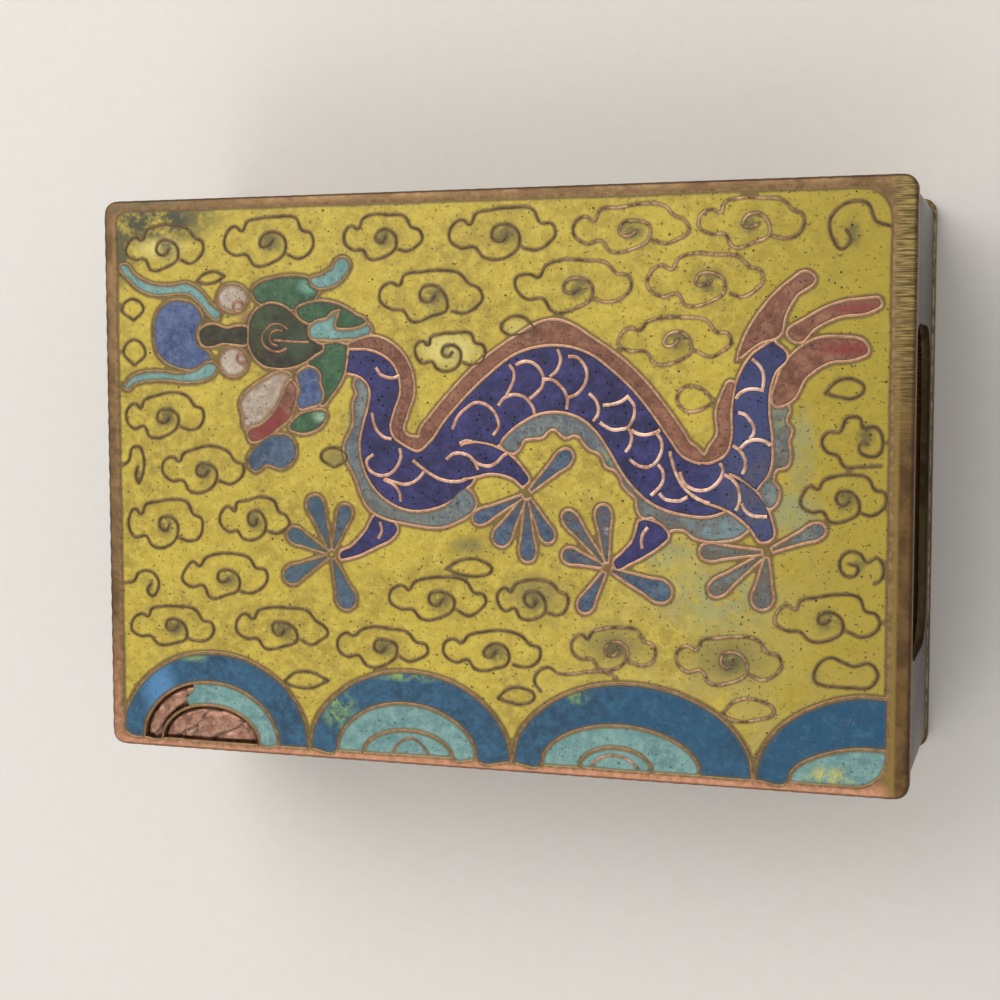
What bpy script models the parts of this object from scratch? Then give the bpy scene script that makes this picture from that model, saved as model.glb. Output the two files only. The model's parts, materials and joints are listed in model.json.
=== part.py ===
"""A cloisonne matchbox sleeve, lying flat on its underside.

A brass strip, bent round two long sides and one end, is soldered between two copper plates.
The face of each plate is sunk into cells parted by thin copper ridges, and each cell holds
its own piece of glass: a dragon on a yellow ground above a row of waves on top, and plain
waves below. Metres, +Z up, +X towards the closed end, origin at the middle of the underside.
"""

import math

import bmesh
import bpy
from mathutils import Matrix, Vector
from mathutils.geometry import delaunay_2d_cdt

MM = 0.001

# Outer sizes of the sleeve
LENGTH = 58.0 * MM
WIDTH = 40.0 * MM
HEIGHT = 18.0 * MM

# Copper plates above and below
PLATE = 1.3 * MM
PLATE_CORNER = 0.9 * MM
PLATE_EDGE_ROUND = 0.2 * MM

# Brass strip that makes the walls
WALL = 0.6 * MM
WALL_INSET = 0.15 * MM
WALL_BEND = 1.2 * MM
SOLDER_GAP = 0.05 * MM

# Finger window in the end wall
FINGER_WINDOW = 22.5 * MM
FINGER_WINDOW_OFFSET = -0.5 * MM
FINGER_LIP_TOP = 0.3 * MM
FINGER_LIP_BOTTOM = 1.2 * MM
FINGER_CORNER = 3.5 * MM

# Striker windows in the two long walls
STRIKER_END_BAR = 8.0 * MM
STRIKER_LIP = 3.2 * MM
STRIKER_CORNER = 2.0 * MM

# Metal rim left bare around the glass, on each edge of a plate's face
RIM_OPEN_END = 1.0 * MM
RIM_CLOSED_END = 1.5 * MM
RIM_BACK = 0.75 * MM
RIM_FRONT = 0.7 * MM
PANEL_CORNER_OPEN = 0.9 * MM
PANEL_CORNER_CLOSED = 2.0 * MM

# Depth of the cells, the ridges that stand for the wires, and the glass in its cell
CELL_DEPTH = 0.6 * MM
WIRE = 0.22 * MM
CELL_FIT = 0.03 * MM
GLASS_BELOW_FACE = 0.05 * MM
SMALLEST_GLASS = 0.8 * MM * MM

CORNER_STEPS = 4
MERGE = 0.0005 * MM
WINDOW_CUT_PAST = 3.0 * MM

COLOURS = {
    "copper": ((0.46, 0.27, 0.16), 0.42, 1.0),
    "brass": ((0.55, 0.45, 0.33), 0.35, 1.0),
    "yellow": ((0.56, 0.47, 0.05), 0.25, 0.0),
    "ultramarine": ((0.03, 0.03, 0.19), 0.22, 0.0),
    "slate": ((0.14, 0.20, 0.33), 0.25, 0.0),
    "cobalt": ((0.10, 0.16, 0.42), 0.25, 0.0),
    "cerulean": ((0.02, 0.15, 0.27), 0.22, 0.0),
    "turquoise": ((0.20, 0.45, 0.42), 0.25, 0.0),
    "madder": ((0.29, 0.08, 0.06), 0.28, 0.0),
    "green": ((0.04, 0.16, 0.07), 0.25, 0.0),
    "umber": ((0.06, 0.05, 0.02), 0.28, 0.0),
    "pearl": ((0.50, 0.44, 0.42), 0.28, 0.0),
}

# The picture is drawn on a sheet of this size, centred on the face, and fitted to the plate
SHEET_LENGTH = 58.0
SHEET_WIDTH = 40.0
FOLD_GAP = 0.25

# Dragon's body: middle line from neck to tail, with half its breadth at each point
BODY = [
    (-9.9, 8.35, 0.85), (-8.5, 8.15, 1.05), (-7.4, 7.4, 1.2), (-7.05, 6.2, 1.15), (-7.35, 5.0, 1.0),
    (-7.65, 3.8, 1.05), (-7.65, 2.7, 1.35), (-7.15, 1.6, 1.75), (-6.3, 0.65, 2.0), (-5.0, 0.05, 2.1),
    (-3.6, 0.25, 2.1), (-2.2, 1.3, 2.1), (-1.1, 2.85, 2.05), (0.1, 4.3, 2.0), (1.7, 5.75, 2.05),
    (3.4, 6.8, 2.2), (5.2, 7.15, 2.25), (6.9, 6.8, 2.15), (8.3, 5.95, 1.95), (9.5, 4.85, 1.9),
    (10.7, 3.3, 1.95), (11.8, 1.65, 2.0), (12.9, 0.5, 1.9), (14.3, -0.1, 1.8), (15.9, -0.2, 1.75),
    (17.4, 0.35, 1.75), (18.4, 1.6, 1.55), (18.65, 3.2, 1.35), (18.55, 5.0, 1.25), (18.75, 6.7, 1.15),
    (19.4, 8.1, 1.0), (20.5, 9.1, 0.75),
]
# Fin along the back, from the neck to its leaf at the foot of the tail
FIN = 1.05
FIN_START = 0
FIN_END = 29
FIN_SPIKE = 16
FIN_SPIKE_RISE = 0.7
FIN_NOTCH = 24
FIN_NOTCH_DEPTH = 0.35
# Hem of wavy skin along the belly: first and last point of the body, and its breadth there
HEM_WAVE = 0.22
HEMS = {
    "hem_chest": (1, 11, 0.8, 1.3),
    "hem_belly": (14, 26, 1.2, 1.4),
    "hem_tail": (26, 29, 1.1, 1.0),
}
# Legs: middle line and half breadth, from the body to the paw
LEGS = {
    "foreleg_far": [(-1.9, 1.15, 0.9), (-0.7, 1.55, 1.2), (0.7, 1.6, 1.0), (1.9, 1.2, 0.75), (2.8, 0.55, 0.5), (3.3, -0.1, 0.35)],
    "foreleg_near": [(-7.05, -3.2, 0.9), (-7.9, -3.85, 0.95), (-8.8, -4.6, 0.8), (-9.7, -5.15, 0.6), (-10.5, -5.35, 0.35)],
    "hind_leg_far": [(12.3, -2.95, 0.95), (11.7, -3.4, 0.95), (10.9, -4.2, 0.8), (10.2, -4.95, 0.6), (9.6, -5.4, 0.35)],
    "hind_leg_near": [(15.8, 0.0, 1.1), (17.2, -0.35, 1.15), (18.5, -1.2, 1.05), (19.3, -2.3, 0.8), (19.75, -3.5, 0.35)],
}
# Paws: middle, then each toe's tip and the radius of its bulb, anticlockwise
PAW_MIDDLE = 0.5
PAWS = {
    "paw_1": ((-11.15, -5.3), [
        ((-10.0, -1.8), 0.5), ((-12.6, -1.2), 0.6), ((-14.5, -3.8), 0.55), ((-14.8, -7.2), 0.6), ((-9.8, -9.1), 0.7),
    ]),
    "paw_2": ((3.3, -0.75), [
        ((6.4, 2.2), 0.5), ((-0.5, -2.6), 0.45), ((1.2, -4.2), 0.6), ((3.4, -5.3), 0.5), ((5.0, -3.9), 0.45),
    ]),
    "paw_3": ((8.95, -5.6), [
        ((8.65, -1.4), 0.5), ((6.0, -1.9), 0.45), ((5.85, -4.7), 0.5), ((7.2, -8.6), 0.5), ((13.3, -7.3), 0.7),
    ]),
    "paw_4": ((19.75, -4.2), [
        ((23.4, -2.5), 0.45), ((15.3, -4.3), 0.5), ((16.0, -7.0), 0.5), ((19.4, -7.9), 0.65),
    ]),
}
# Whiskers: middle line and half breadth, from the tip to the nose
WHISKERS = {
    "whisker_upper": [
        (-27.3, 15.3, 0.3), (-25.9, 14.1, 0.4), (-24.2, 13.75, 0.43), (-22.4, 13.65, 0.48),
        (-21.0, 12.6, 0.48), (-19.9, 11.5, 0.35),
    ],
    "whisker_lower": [
        (-27.3, 6.85, 0.3), (-25.9, 7.45, 0.4), (-24.2, 7.35, 0.43), (-22.6, 7.15, 0.46), (-20.9, 7.6, 0.4),
    ],
}
# Other parts of the dragon, each a closed outline in its colour
PARTS = {
    "tail_flame_upper": ("madder", [
        (17.6, 8.3), (18.2, 10.1), (19.4, 11.9), (21.0, 13.4), (22.2, 14.0), (22.7, 13.6),
        (21.5, 12.4), (20.8, 11.1), (20.5, 9.9), (19.2, 9.4),
    ]),
    "tail_flame_middle": ("madder", [
        (20.85, 9.9), (22.2, 11.1), (24.2, 12.0), (26.6, 12.3), (26.95, 11.8), (26.3, 11.35),
        (24.2, 11.0), (22.7, 10.3), (21.6, 9.4),
    ]),
    "tail_flame_lower": ("madder", [
        (21.5, 9.0), (22.8, 9.75), (24.4, 9.8), (25.9, 9.4), (26.15, 8.8), (25.4, 8.35),
        (23.6, 8.1), (22.2, 7.2), (21.2, 5.6), (20.1, 5.3), (20.2, 6.9),
    ]),
    "nose": ("cobalt", [
        (-24.6, 11.9), (-23.6, 12.7), (-22.1, 12.6), (-21.2, 11.8), (-21.9, 10.6), (-21.9, 9.5),
        (-20.9, 8.7), (-21.6, 7.9), (-22.9, 7.75), (-24.2, 8.4), (-24.9, 10.0),
    ]),
    "nose_bridge": ("umber", [
        (-21.6, 10.3), (-20.7, 11.0), (-19.4, 10.75), (-17.9, 10.9), (-17.7, 9.8), (-19.3, 9.65),
        (-20.7, 9.3), (-21.6, 9.6),
    ]),
    "crown": ("umber", [
        (-17.6, 10.4), (-17.0, 11.8), (-15.6, 12.5), (-14.2, 11.9), (-13.2, 10.8), (-12.9, 9.9),
        (-11.9, 9.35), (-13.6, 8.5), (-15.3, 8.0), (-16.8, 8.7),
    ]),
    "horn": ("turquoise", [
        (-12.9, 10.2), (-12.3, 11.2), (-11.0, 11.95), (-10.5, 11.2), (-10.3, 10.75), (-8.2, 11.0),
        (-8.1, 10.45), (-9.7, 10.0), (-12.1, 9.8),
    ]),
    "ear": ("green", [
        (-14.2, 12.1), (-12.9, 12.65), (-11.2, 12.7), (-10.1, 12.4), (-8.7, 11.5), (-10.3, 11.1),
        (-11.1, 12.0), (-12.8, 11.3),
    ]),
    "mane_upper": ("green", [
        (-17.1, 13.2), (-15.7, 14.3), (-14.2, 14.5), (-12.6, 13.9), (-12.5, 12.95), (-14.3, 12.75),
        (-15.9, 12.85),
    ]),
    "horn_tip": ("turquoise", [
        (-12.5, 13.9), (-11.0, 14.5), (-9.95, 15.7), (-9.5, 15.2), (-10.5, 13.8), (-12.4, 12.9),
    ]),
    "mane_lower": ("green", [
        (-12.3, 9.3), (-10.0, 9.75), (-9.9, 8.3), (-10.7, 6.3), (-11.6, 5.2), (-11.6, 6.6), (-12.2, 8.1),
    ]),
    "mane_leaf": ("green", [
        (-14.5, 3.6), (-13.5, 4.6), (-11.9, 5.2), (-11.2, 4.9), (-11.8, 3.9), (-13.3, 3.3),
    ]),
    "cheek_tuft": ("cobalt", [
        (-14.1, 5.2), (-13.9, 7.1), (-13.1, 7.95), (-12.3, 7.5), (-11.8, 6.1), (-12.6, 5.2), (-13.5, 4.8),
    ]),
    "jaw": ("pearl", [
        (-18.3, 5.9), (-16.8, 7.2), (-15.0, 7.85), (-14.6, 7.2), (-15.3, 5.9), (-16.3, 4.7),
        (-17.5, 3.7), (-17.9, 4.7),
    ]),
    "tongue": ("madder", [
        (-17.6, 3.3), (-16.3, 4.2), (-15.1, 5.6), (-14.4, 7.0), (-14.0, 6.2), (-14.3, 4.7),
        (-15.6, 3.5), (-17.6, 2.5),
    ]),
    "beard": ("slate", [
        (-17.7, 1.1), (-16.9, 2.4), (-15.5, 3.2), (-14.1, 2.9), (-13.8, 1.7), (-14.8, 0.7), (-16.2, 0.9), (-17.1, 0.4),
    ]),
}
EYES = {
    "eye_upper": ((-18.7, 12.85), (1.25, 1.05)),
    "eye_lower": ((-18.7, 8.3), (1.2, 1.1)),
}
EYE_SIDES = 10

# Waves: middle, half width and rise of the crest, the hollow in it and the heart of that
WAVES = [
    ((-20.6, 7.6, 6.7), (-20.9, 5.5, 4.5), (-20.9, 4.0, 2.8)),
    ((-5.4, 7.6, 6.1), (-5.6, 5.3, 3.8), (-5.5, 3.4, 1.9)),
    ((10.6, 8.4, 6.1), (9.9, 5.6, 3.2), (9.6, 2.6, 1.7)),
    ((27.0, 8.0, 6.1), (27.0, 5.8, 2.7)),
]
WAVE_LAYERS = (("wave_crest", "cerulean"), ("wave_hollow", "turquoise"), ("wave_heart", "turquoise"))
WAVE_SIDES = 22
WAVE_FOOT = -19.5
# The first wave has lost the glass of its heart
LOST_GLASS = ("wave_heart_1",)

# Waves of the underside, at one spacing
UNDER_WAVE_COUNT = 3
UNDER_WAVE_RISE = 7.0
UNDER_HOLLOW = 0.65


def clear_scene():
    for item in list(bpy.data.objects):
        bpy.data.objects.remove(item, do_unlink=True)


def finish_of(name):
    """The Principled material of one metal or glass."""
    found = bpy.data.materials.get(name)
    if found:
        return found
    colour, roughness, metallic = COLOURS[name]
    made = bpy.data.materials.new(name)
    made.use_nodes = True
    shader = made.node_tree.nodes["Principled BSDF"]
    shader.inputs["Base Color"].default_value = (*colour, 1.0)
    shader.inputs["Roughness"].default_value = roughness
    shader.inputs["Metallic"].default_value = metallic
    made.diffuse_color = (*colour, 1.0)
    return made


def add_object(name, mesh, colour):
    """A named object from a finished bmesh."""
    data = bpy.data.meshes.new(name)
    mesh.to_mesh(data)
    mesh.free()
    made = bpy.data.objects.new(name, data)
    data.materials.append(finish_of(colour))
    bpy.context.scene.collection.objects.link(made)
    return made


def side_of(line, side, extra=None):
    """One side of a stroke given as x, y and half breadth, widened by what extra gives for each point.

    A point that a tight bend would fold back over the one before it is left out.
    """
    made = []
    for i, (x, y, half) in enumerate(line):
        before = Vector(line[max(i - 1, 0)][:2])
        after = Vector(line[min(i + 1, len(line) - 1)][:2])
        along = (after - before).normalized()
        reach = side * (half + (extra(i) if extra else 0.0))
        point = Vector((x - along.y * reach, y + along.x * reach))
        if not made or (point - Vector(made[-1])).dot(along) > FOLD_GAP:
            made.append(tuple(point))
    return made


def stroke(line):
    """Outline of a stroke given as x, y and half breadth."""
    return side_of(line, 1) + side_of(line, -1)[::-1]


def fin_outline():
    """Band along the back, with a spike over the arch and a notch where its leaf begins."""
    part = BODY[FIN_START:FIN_END + 1]
    rises = {FIN_SPIKE: FIN + FIN_SPIKE_RISE, FIN_NOTCH: FIN - FIN_NOTCH_DEPTH, FIN_END: 0.6 * FIN, FIN_START: 0.5 * FIN}
    outer = side_of(part, 1, lambda i: rises.get(i + FIN_START, FIN))
    return outer + side_of(part, -1, lambda i: -part[i][2])[::-1]


def hem_outline(first, last, start_breadth, end_breadth):
    """Band along the belly with a wavy lower edge."""
    part = BODY[first:last + 1]

    def breadth(i):
        share = i / (len(part) - 1)
        wave = HEM_WAVE * (1 if i % 2 else -1)
        return start_breadth + (end_breadth - start_breadth) * share + wave

    return side_of(part, -1, breadth) + side_of(part, 1, lambda i: -part[i][2])[::-1]


def paw_outline(middle, toes):
    """Toes round the middle of a paw, each growing towards the round bulb at its tip."""
    centre = Vector(middle)
    aims = [(Vector(tip) - centre).normalized() for tip, bulb in toes]
    made = []
    for i, (tip, bulb) in enumerate(toes):
        out = aims[i]
        right = Vector((out.y, -out.x))
        bulb_middle = Vector(tip) - out * bulb
        made.append(centre + (aims[i - 1] + out).normalized() * PAW_MIDDLE)
        made.append(bulb_middle + right * bulb - out * 0.4 * bulb)
        made.append(Vector(tip) + right * 0.5 * bulb)
        made.append(Vector(tip) - right * 0.5 * bulb)
        made.append(bulb_middle - right * bulb - out * 0.4 * bulb)
    return [tuple(point) for point in made]


def ellipse(centre, halves, sides):
    return [
        (
            centre[0] + halves[0] * math.cos(2 * math.pi * i / sides),
            centre[1] + halves[1] * math.sin(2 * math.pi * i / sides),
        )
        for i in range(sides)
    ]


def rounded_box(low, high, radii):
    """An anticlockwise rectangle with a radius for each corner, from the low corner round."""
    corners = [
        (low[0], low[1], math.pi, radii[0]),
        (high[0], low[1], 1.5 * math.pi, radii[1]),
        (high[0], high[1], 0.0, radii[2]),
        (low[0], high[1], 0.5 * math.pi, radii[3]),
    ]
    made = []
    for x, y, start, radius in corners:
        centre_x = x + (radius if x == low[0] else -radius)
        centre_y = y + (radius if y == low[1] else -radius)
        for step in range(CORNER_STEPS + 1):
            angle = start + 0.5 * math.pi * step / CORNER_STEPS
            made.append((centre_x + radius * math.cos(angle), centre_y + radius * math.sin(angle)))
    return made


def plate_outline():
    return rounded_box((-LENGTH / 2, -WIDTH / 2), (LENGTH / 2, WIDTH / 2), [PLATE_CORNER] * 4)


def panel_outline():
    """Edge of the glass within the bare rim."""
    low = (-LENGTH / 2 + RIM_OPEN_END, -WIDTH / 2 + RIM_FRONT)
    high = (LENGTH / 2 - RIM_CLOSED_END, WIDTH / 2 - RIM_BACK)
    return rounded_box(low, high, [PANEL_CORNER_OPEN, PANEL_CORNER_CLOSED, PANEL_CORNER_CLOSED, PANEL_CORNER_OPEN])


def to_face(outline):
    """An outline of the sheet at its real place on the plate, in metres."""
    return [(x * LENGTH / SHEET_LENGTH, y * WIDTH / SHEET_WIDTH) for x, y in outline]


def grown(outline, gap):
    """The closed outline with each edge moved outwards by gap, anticlockwise."""
    area = sum(a[0] * b[1] - b[0] * a[1] for a, b in zip(outline, outline[1:] + outline[:1]))
    if area < 0:
        outline = outline[::-1]
    made = []
    for i, (x, y) in enumerate(outline):
        before = (Vector(outline[i]) - Vector(outline[i - 1])).normalized()
        after = (Vector(outline[(i + 1) % len(outline)]) - Vector(outline[i])).normalized()
        out = Vector((before.y + after.y, -before.x - after.x)).normalized()
        reach = gap / max(out.dot(Vector((before.y, -before.x))), 0.6)
        made.append((x + out.x * reach, y + out.y * reach))
    return made


def top_picture():
    """Cells of the upper plate, the foremost first: name, colour and outline on the sheet."""
    cells = [(name, colour, outline) for name, (colour, outline) in PARTS.items()]
    cells += [(name, "pearl", ellipse(centre, halves, EYE_SIDES)) for name, (centre, halves) in EYES.items()]
    cells += [(name, "turquoise", stroke(line)) for name, line in WHISKERS.items()]
    cells += [(name, "slate", paw_outline(*paw)) for name, paw in PAWS.items()]
    cells += [(name, "ultramarine", stroke(line)) for name, line in LEGS.items()]
    cells.append(("body", "ultramarine", stroke(BODY)))
    cells.append(("fin", "madder", fin_outline()))
    cells += [(name, "slate", hem_outline(*hem)) for name, hem in HEMS.items()]
    cells += wave_cells(WAVES, WAVE_LAYERS)
    return cells


def wave_cells(waves, layers, prefix=""):
    """Nested half ellipses that stand on the panel's front edge, the inner ones foremost."""
    made = []
    for number, wave in enumerate(waves, start=1):
        for (name, colour), (middle, half, rise) in reversed(list(zip(layers, wave))):
            outline = ellipse((middle, WAVE_FOOT), (half, rise), WAVE_SIDES)
            made.append((f"{prefix}{name}_{number}", colour, outline))
    return made


def under_picture():
    """Cells of the lower plate: a row of equal waves."""
    half = SHEET_LENGTH / (2 * UNDER_WAVE_COUNT)
    waves = []
    for i in range(UNDER_WAVE_COUNT):
        middle = -SHEET_LENGTH / 2 + half * (2 * i + 1)
        crest = (middle, half, UNDER_WAVE_RISE)
        waves.append((crest, (middle, half * UNDER_HOLLOW, UNDER_WAVE_RISE * UNDER_HOLLOW)))
    return wave_cells(waves, WAVE_LAYERS[:2], "under_")


def mosaic(cells, ground_name, fit):
    """Cut a plate's face into cells, whose walls stand back from the wires' middles by half a wire less fit.

    Returns the points of the face, and its triangles under the name of their cell, or under "" for
    the metal between cells.
    """
    panel = grown(panel_outline(), fit)
    shapes = [plate_outline(), panel]
    for _, _, outline in cells:
        drawn = to_face(outline)
        shapes += [grown(drawn, fit - WIRE / 2), grown(drawn, WIRE / 2 - fit)]
    points = []
    faces = []
    for shape in shapes:
        faces.append(list(range(len(points), len(points) + len(shape))))
        points += [Vector(point) for point in shape]
    points, _, triangles, _, _, within = delaunay_2d_cdt(points, [], faces, 1, MERGE)
    parts = {"": []}
    for triangle, inside in zip(triangles, within):
        if 0 not in inside:
            continue
        owner = ""
        if 1 in inside:
            owner = ground_name
            for i, (name, _, _) in enumerate(cells):
                if 2 * i + 2 in inside:
                    owner = name
                    break
                if 2 * i + 3 in inside:
                    owner = ""
                    break
        parts.setdefault(owner, []).append(triangle)
    return points, keep_main_islands(points, parts)


def islands_of(triangles):
    """Groups of triangles that hang together by their edges."""
    by_edge = {}
    for index, triangle in enumerate(triangles):
        for i in range(3):
            edge = frozenset((triangle[i], triangle[i - 1]))
            by_edge.setdefault(edge, []).append(index)
    neighbours = {index: set() for index in range(len(triangles))}
    for sharing in by_edge.values():
        for index in sharing:
            neighbours[index].update(sharing)
    groups = []
    left = set(neighbours)
    while left:
        group = set()
        front = [min(left)]
        while front:
            index = front.pop()
            if index in left:
                left.remove(index)
                group.add(index)
                front += sorted(neighbours[index])
        groups.append([triangles[index] for index in sorted(group)])
    return groups


def area_of(points, triangles):
    return sum(
        0.5 * (points[b] - points[a]).cross(points[c] - points[a]) for a, b, c in triangles
    )


def keep_main_islands(points, parts):
    """Give each separate island of a cell its own name, and turn the smallest ones back into metal."""
    made = {"": list(parts[""])}
    for name, triangles in parts.items():
        if not name:
            continue
        groups = sorted(islands_of(triangles), key=lambda group: -area_of(points, group))
        for number, group in enumerate(groups, start=1):
            if area_of(points, group) < SMALLEST_GLASS:
                made[""] += group
            else:
                made[name if number == 1 else f"{name}_patch_{number - 1}"] = group
    return made


def flat_mesh(points, parts):
    """A flat bmesh of the given cells, each cell's faces merged and marked with its number."""
    mesh = bmesh.new()
    made = {}
    for number, triangles in enumerate(parts.values()):
        for triangle in triangles:
            corners = []
            for index in triangle:
                if index not in made:
                    made[index] = mesh.verts.new((points[index].x, points[index].y, 0.0))
                corners.append(made[index])
            mesh.faces.new(corners).material_index = number
    mesh.normal_update()
    bmesh.ops.dissolve_limit(
        mesh, angle_limit=0.001, use_dissolve_boundaries=False,
        verts=mesh.verts[:], edges=mesh.edges[:], delimit={"MATERIAL"},
    )
    bmesh.ops.triangulate(mesh, faces=mesh.faces[:])
    return mesh


def raise_faces(mesh, faces, rise, keep=True):
    """Push some faces up or down by rise, with walls at their edges, and keep or drop the first faces."""
    pushed = bmesh.ops.extrude_face_region(mesh, geom=faces)
    moved = [item for item in pushed["geom"] if isinstance(item, bmesh.types.BMVert)]
    bmesh.ops.translate(mesh, vec=(0.0, 0.0, rise), verts=moved)
    left = [face for face in faces if face.is_valid]
    if left and not keep:
        bmesh.ops.delete(mesh, geom=left, context="FACES")


def plate_mesh(cells, ground_name):
    """A plate with its underside at 0 and its face sunk into cells."""
    points, parts = mosaic(cells, ground_name, CELL_FIT / 2)
    mesh = flat_mesh(points, parts)
    raise_faces(mesh, mesh.faces[:], PLATE)
    bmesh.ops.recalc_face_normals(mesh, faces=mesh.faces[:])
    bmesh.ops.dissolve_faces(mesh, faces=[face for face in mesh.faces if face.normal.z < -0.5], use_verts=True)
    sunk = [face for face in mesh.faces if face.material_index and face.normal.z > 0.5]
    raise_faces(mesh, sunk, -CELL_DEPTH, keep=False)
    rim = [edge for edge in mesh.edges if is_rim_edge(edge)]
    bmesh.ops.bevel(mesh, geom=rim, offset=PLATE_EDGE_ROUND, segments=1, affect="EDGES")
    bmesh.ops.triangulate(mesh, faces=mesh.faces[:])
    bmesh.ops.recalc_face_normals(mesh, faces=mesh.faces[:])
    for face in mesh.faces:
        face.material_index = 0
    return mesh


def is_rim_edge(edge):
    """Whether an edge runs round the outside of the plate's face, where a wall goes down the whole plate."""
    on_face = all(abs(vert.co.z - PLATE) < MERGE for vert in edge.verts)
    return on_face and any(min(vert.co.z for vert in face.verts) < MERGE for face in edge.link_faces)


def build_panel(plate_name, cells, ground_name, place, lost=()):
    """A plate and the pieces of glass in its cells, put in place by a matrix."""
    mesh = plate_mesh(cells, ground_name)
    mesh.transform(place)
    add_object(plate_name, mesh, "copper")
    colours = {name: colour for name, colour, _ in cells}
    colours[ground_name] = "yellow"
    points, parts = mosaic(cells, ground_name, -CELL_FIT / 2)
    for name, triangles in parts.items():
        if not name or name in lost:
            continue
        mesh = flat_mesh(points, {name: triangles})
        bmesh.ops.translate(mesh, vec=(0.0, 0.0, PLATE - CELL_DEPTH + CELL_FIT), verts=mesh.verts[:])
        raise_faces(mesh, mesh.faces[:], CELL_DEPTH - CELL_FIT - GLASS_BELOW_FACE)
        bmesh.ops.recalc_face_normals(mesh, faces=mesh.faces[:])
        mesh.transform(place)
        add_object(name, mesh, colours[name.split("_patch_")[0]])


def wall_line(inset, bend):
    """The strip's plan at some inset from the plates' edges, from its back end round to its front end."""
    x, y = LENGTH / 2 - inset, WIDTH / 2 - inset
    start = -LENGTH / 2 + WALL_INSET
    made = [(start, y)]
    for sign, first in ((1, 0.5 * math.pi), (-1, 0.0)):
        for step in range(CORNER_STEPS + 1):
            angle = first - 0.5 * math.pi * step / CORNER_STEPS
            made.append((x - bend + bend * math.cos(angle), sign * (y - bend) + bend * math.sin(angle)))
    made.append((start, -y))
    return made


def window_cutter(name, width, low, high, corner, place):
    """A round-cornered bar that cuts a window of this width between two heights."""
    mesh = bmesh.new()
    outline = rounded_box((-width / 2, low), (width / 2, high), [corner] * 4)
    face = mesh.faces.new([mesh.verts.new((x, 0.0, z)) for x, z in outline])
    pushed = bmesh.ops.extrude_face_region(mesh, geom=[face])
    moved = [item for item in pushed["geom"] if isinstance(item, bmesh.types.BMVert)]
    bmesh.ops.translate(mesh, vec=(0.0, 1.0, 0.0), verts=moved)
    bmesh.ops.recalc_face_normals(mesh, faces=mesh.faces[:])
    mesh.transform(place)
    cutter = add_object(name, mesh, "brass")
    cutter.hide_render = True
    cutter.display_type = "WIRE"
    return cutter


def build_walls():
    """The bent brass strip with its windows."""
    outer = wall_line(WALL_INSET, WALL_BEND)
    inner = wall_line(WALL_INSET + WALL, WALL_BEND - WALL)
    low = PLATE + SOLDER_GAP
    high = HEIGHT - PLATE - SOLDER_GAP
    mesh = bmesh.new()
    mesh.faces.new([mesh.verts.new((x, y, low)) for x, y in outer + inner[::-1]])
    raise_faces(mesh, mesh.faces[:], high - low)
    bmesh.ops.recalc_face_normals(mesh, faces=mesh.faces[:])
    walls = add_object("walls", mesh, "brass")
    thick = 2 * WINDOW_CUT_PAST
    across = WIDTH + thick
    striker = window_cutter(
        "striker_cutter", LENGTH - 2 * STRIKER_END_BAR, low + STRIKER_LIP, high - STRIKER_LIP, STRIKER_CORNER,
        Matrix.Translation((0.0, -across / 2, 0.0)) @ Matrix.Diagonal((1.0, across, 1.0, 1.0)),
    )
    finger = window_cutter(
        "finger_cutter", FINGER_WINDOW, low + FINGER_LIP_BOTTOM, high - FINGER_LIP_TOP, FINGER_CORNER,
        Matrix.Translation((LENGTH / 2 + WINDOW_CUT_PAST, FINGER_WINDOW_OFFSET, 0.0))
        @ Matrix.Rotation(0.5 * math.pi, 4, "Z") @ Matrix.Diagonal((1.0, thick, 1.0, 1.0)),
    )
    for cutter in (striker, finger):
        cut = walls.modifiers.new(cutter.name, "BOOLEAN")
        cut.operation = "DIFFERENCE"
        cut.object = cutter


def main():
    clear_scene()
    lift = Matrix.Translation((0.0, 0.0, HEIGHT - PLATE))
    turn_over = Matrix.Translation((0.0, 0.0, PLATE)) @ Matrix.Rotation(math.pi, 4, "X")
    build_panel("top_plate", top_picture(), "ground", lift, LOST_GLASS)
    build_panel("bottom_plate", under_picture(), "under_ground", turn_over)
    build_walls()


main()
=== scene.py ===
"""Looks of a cloisonne enamel matchbox cover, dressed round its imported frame.

Every outline is read from the frame's own nodes, so the glass, the copper ridges between its colours and
the bare rims lie where the solids say. Sizes of the picture are in millimetres, the scene is in metres.
"""

import json
import logging
import math
import random
from collections.abc import Sequence
from dataclasses import dataclass, field
from enum import Enum
from typing import ClassVar

import bmesh
import bpy
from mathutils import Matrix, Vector, noise
from mathutils.geometry import delaunay_2d_cdt
from mathutils.kdtree import KDTree

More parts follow.
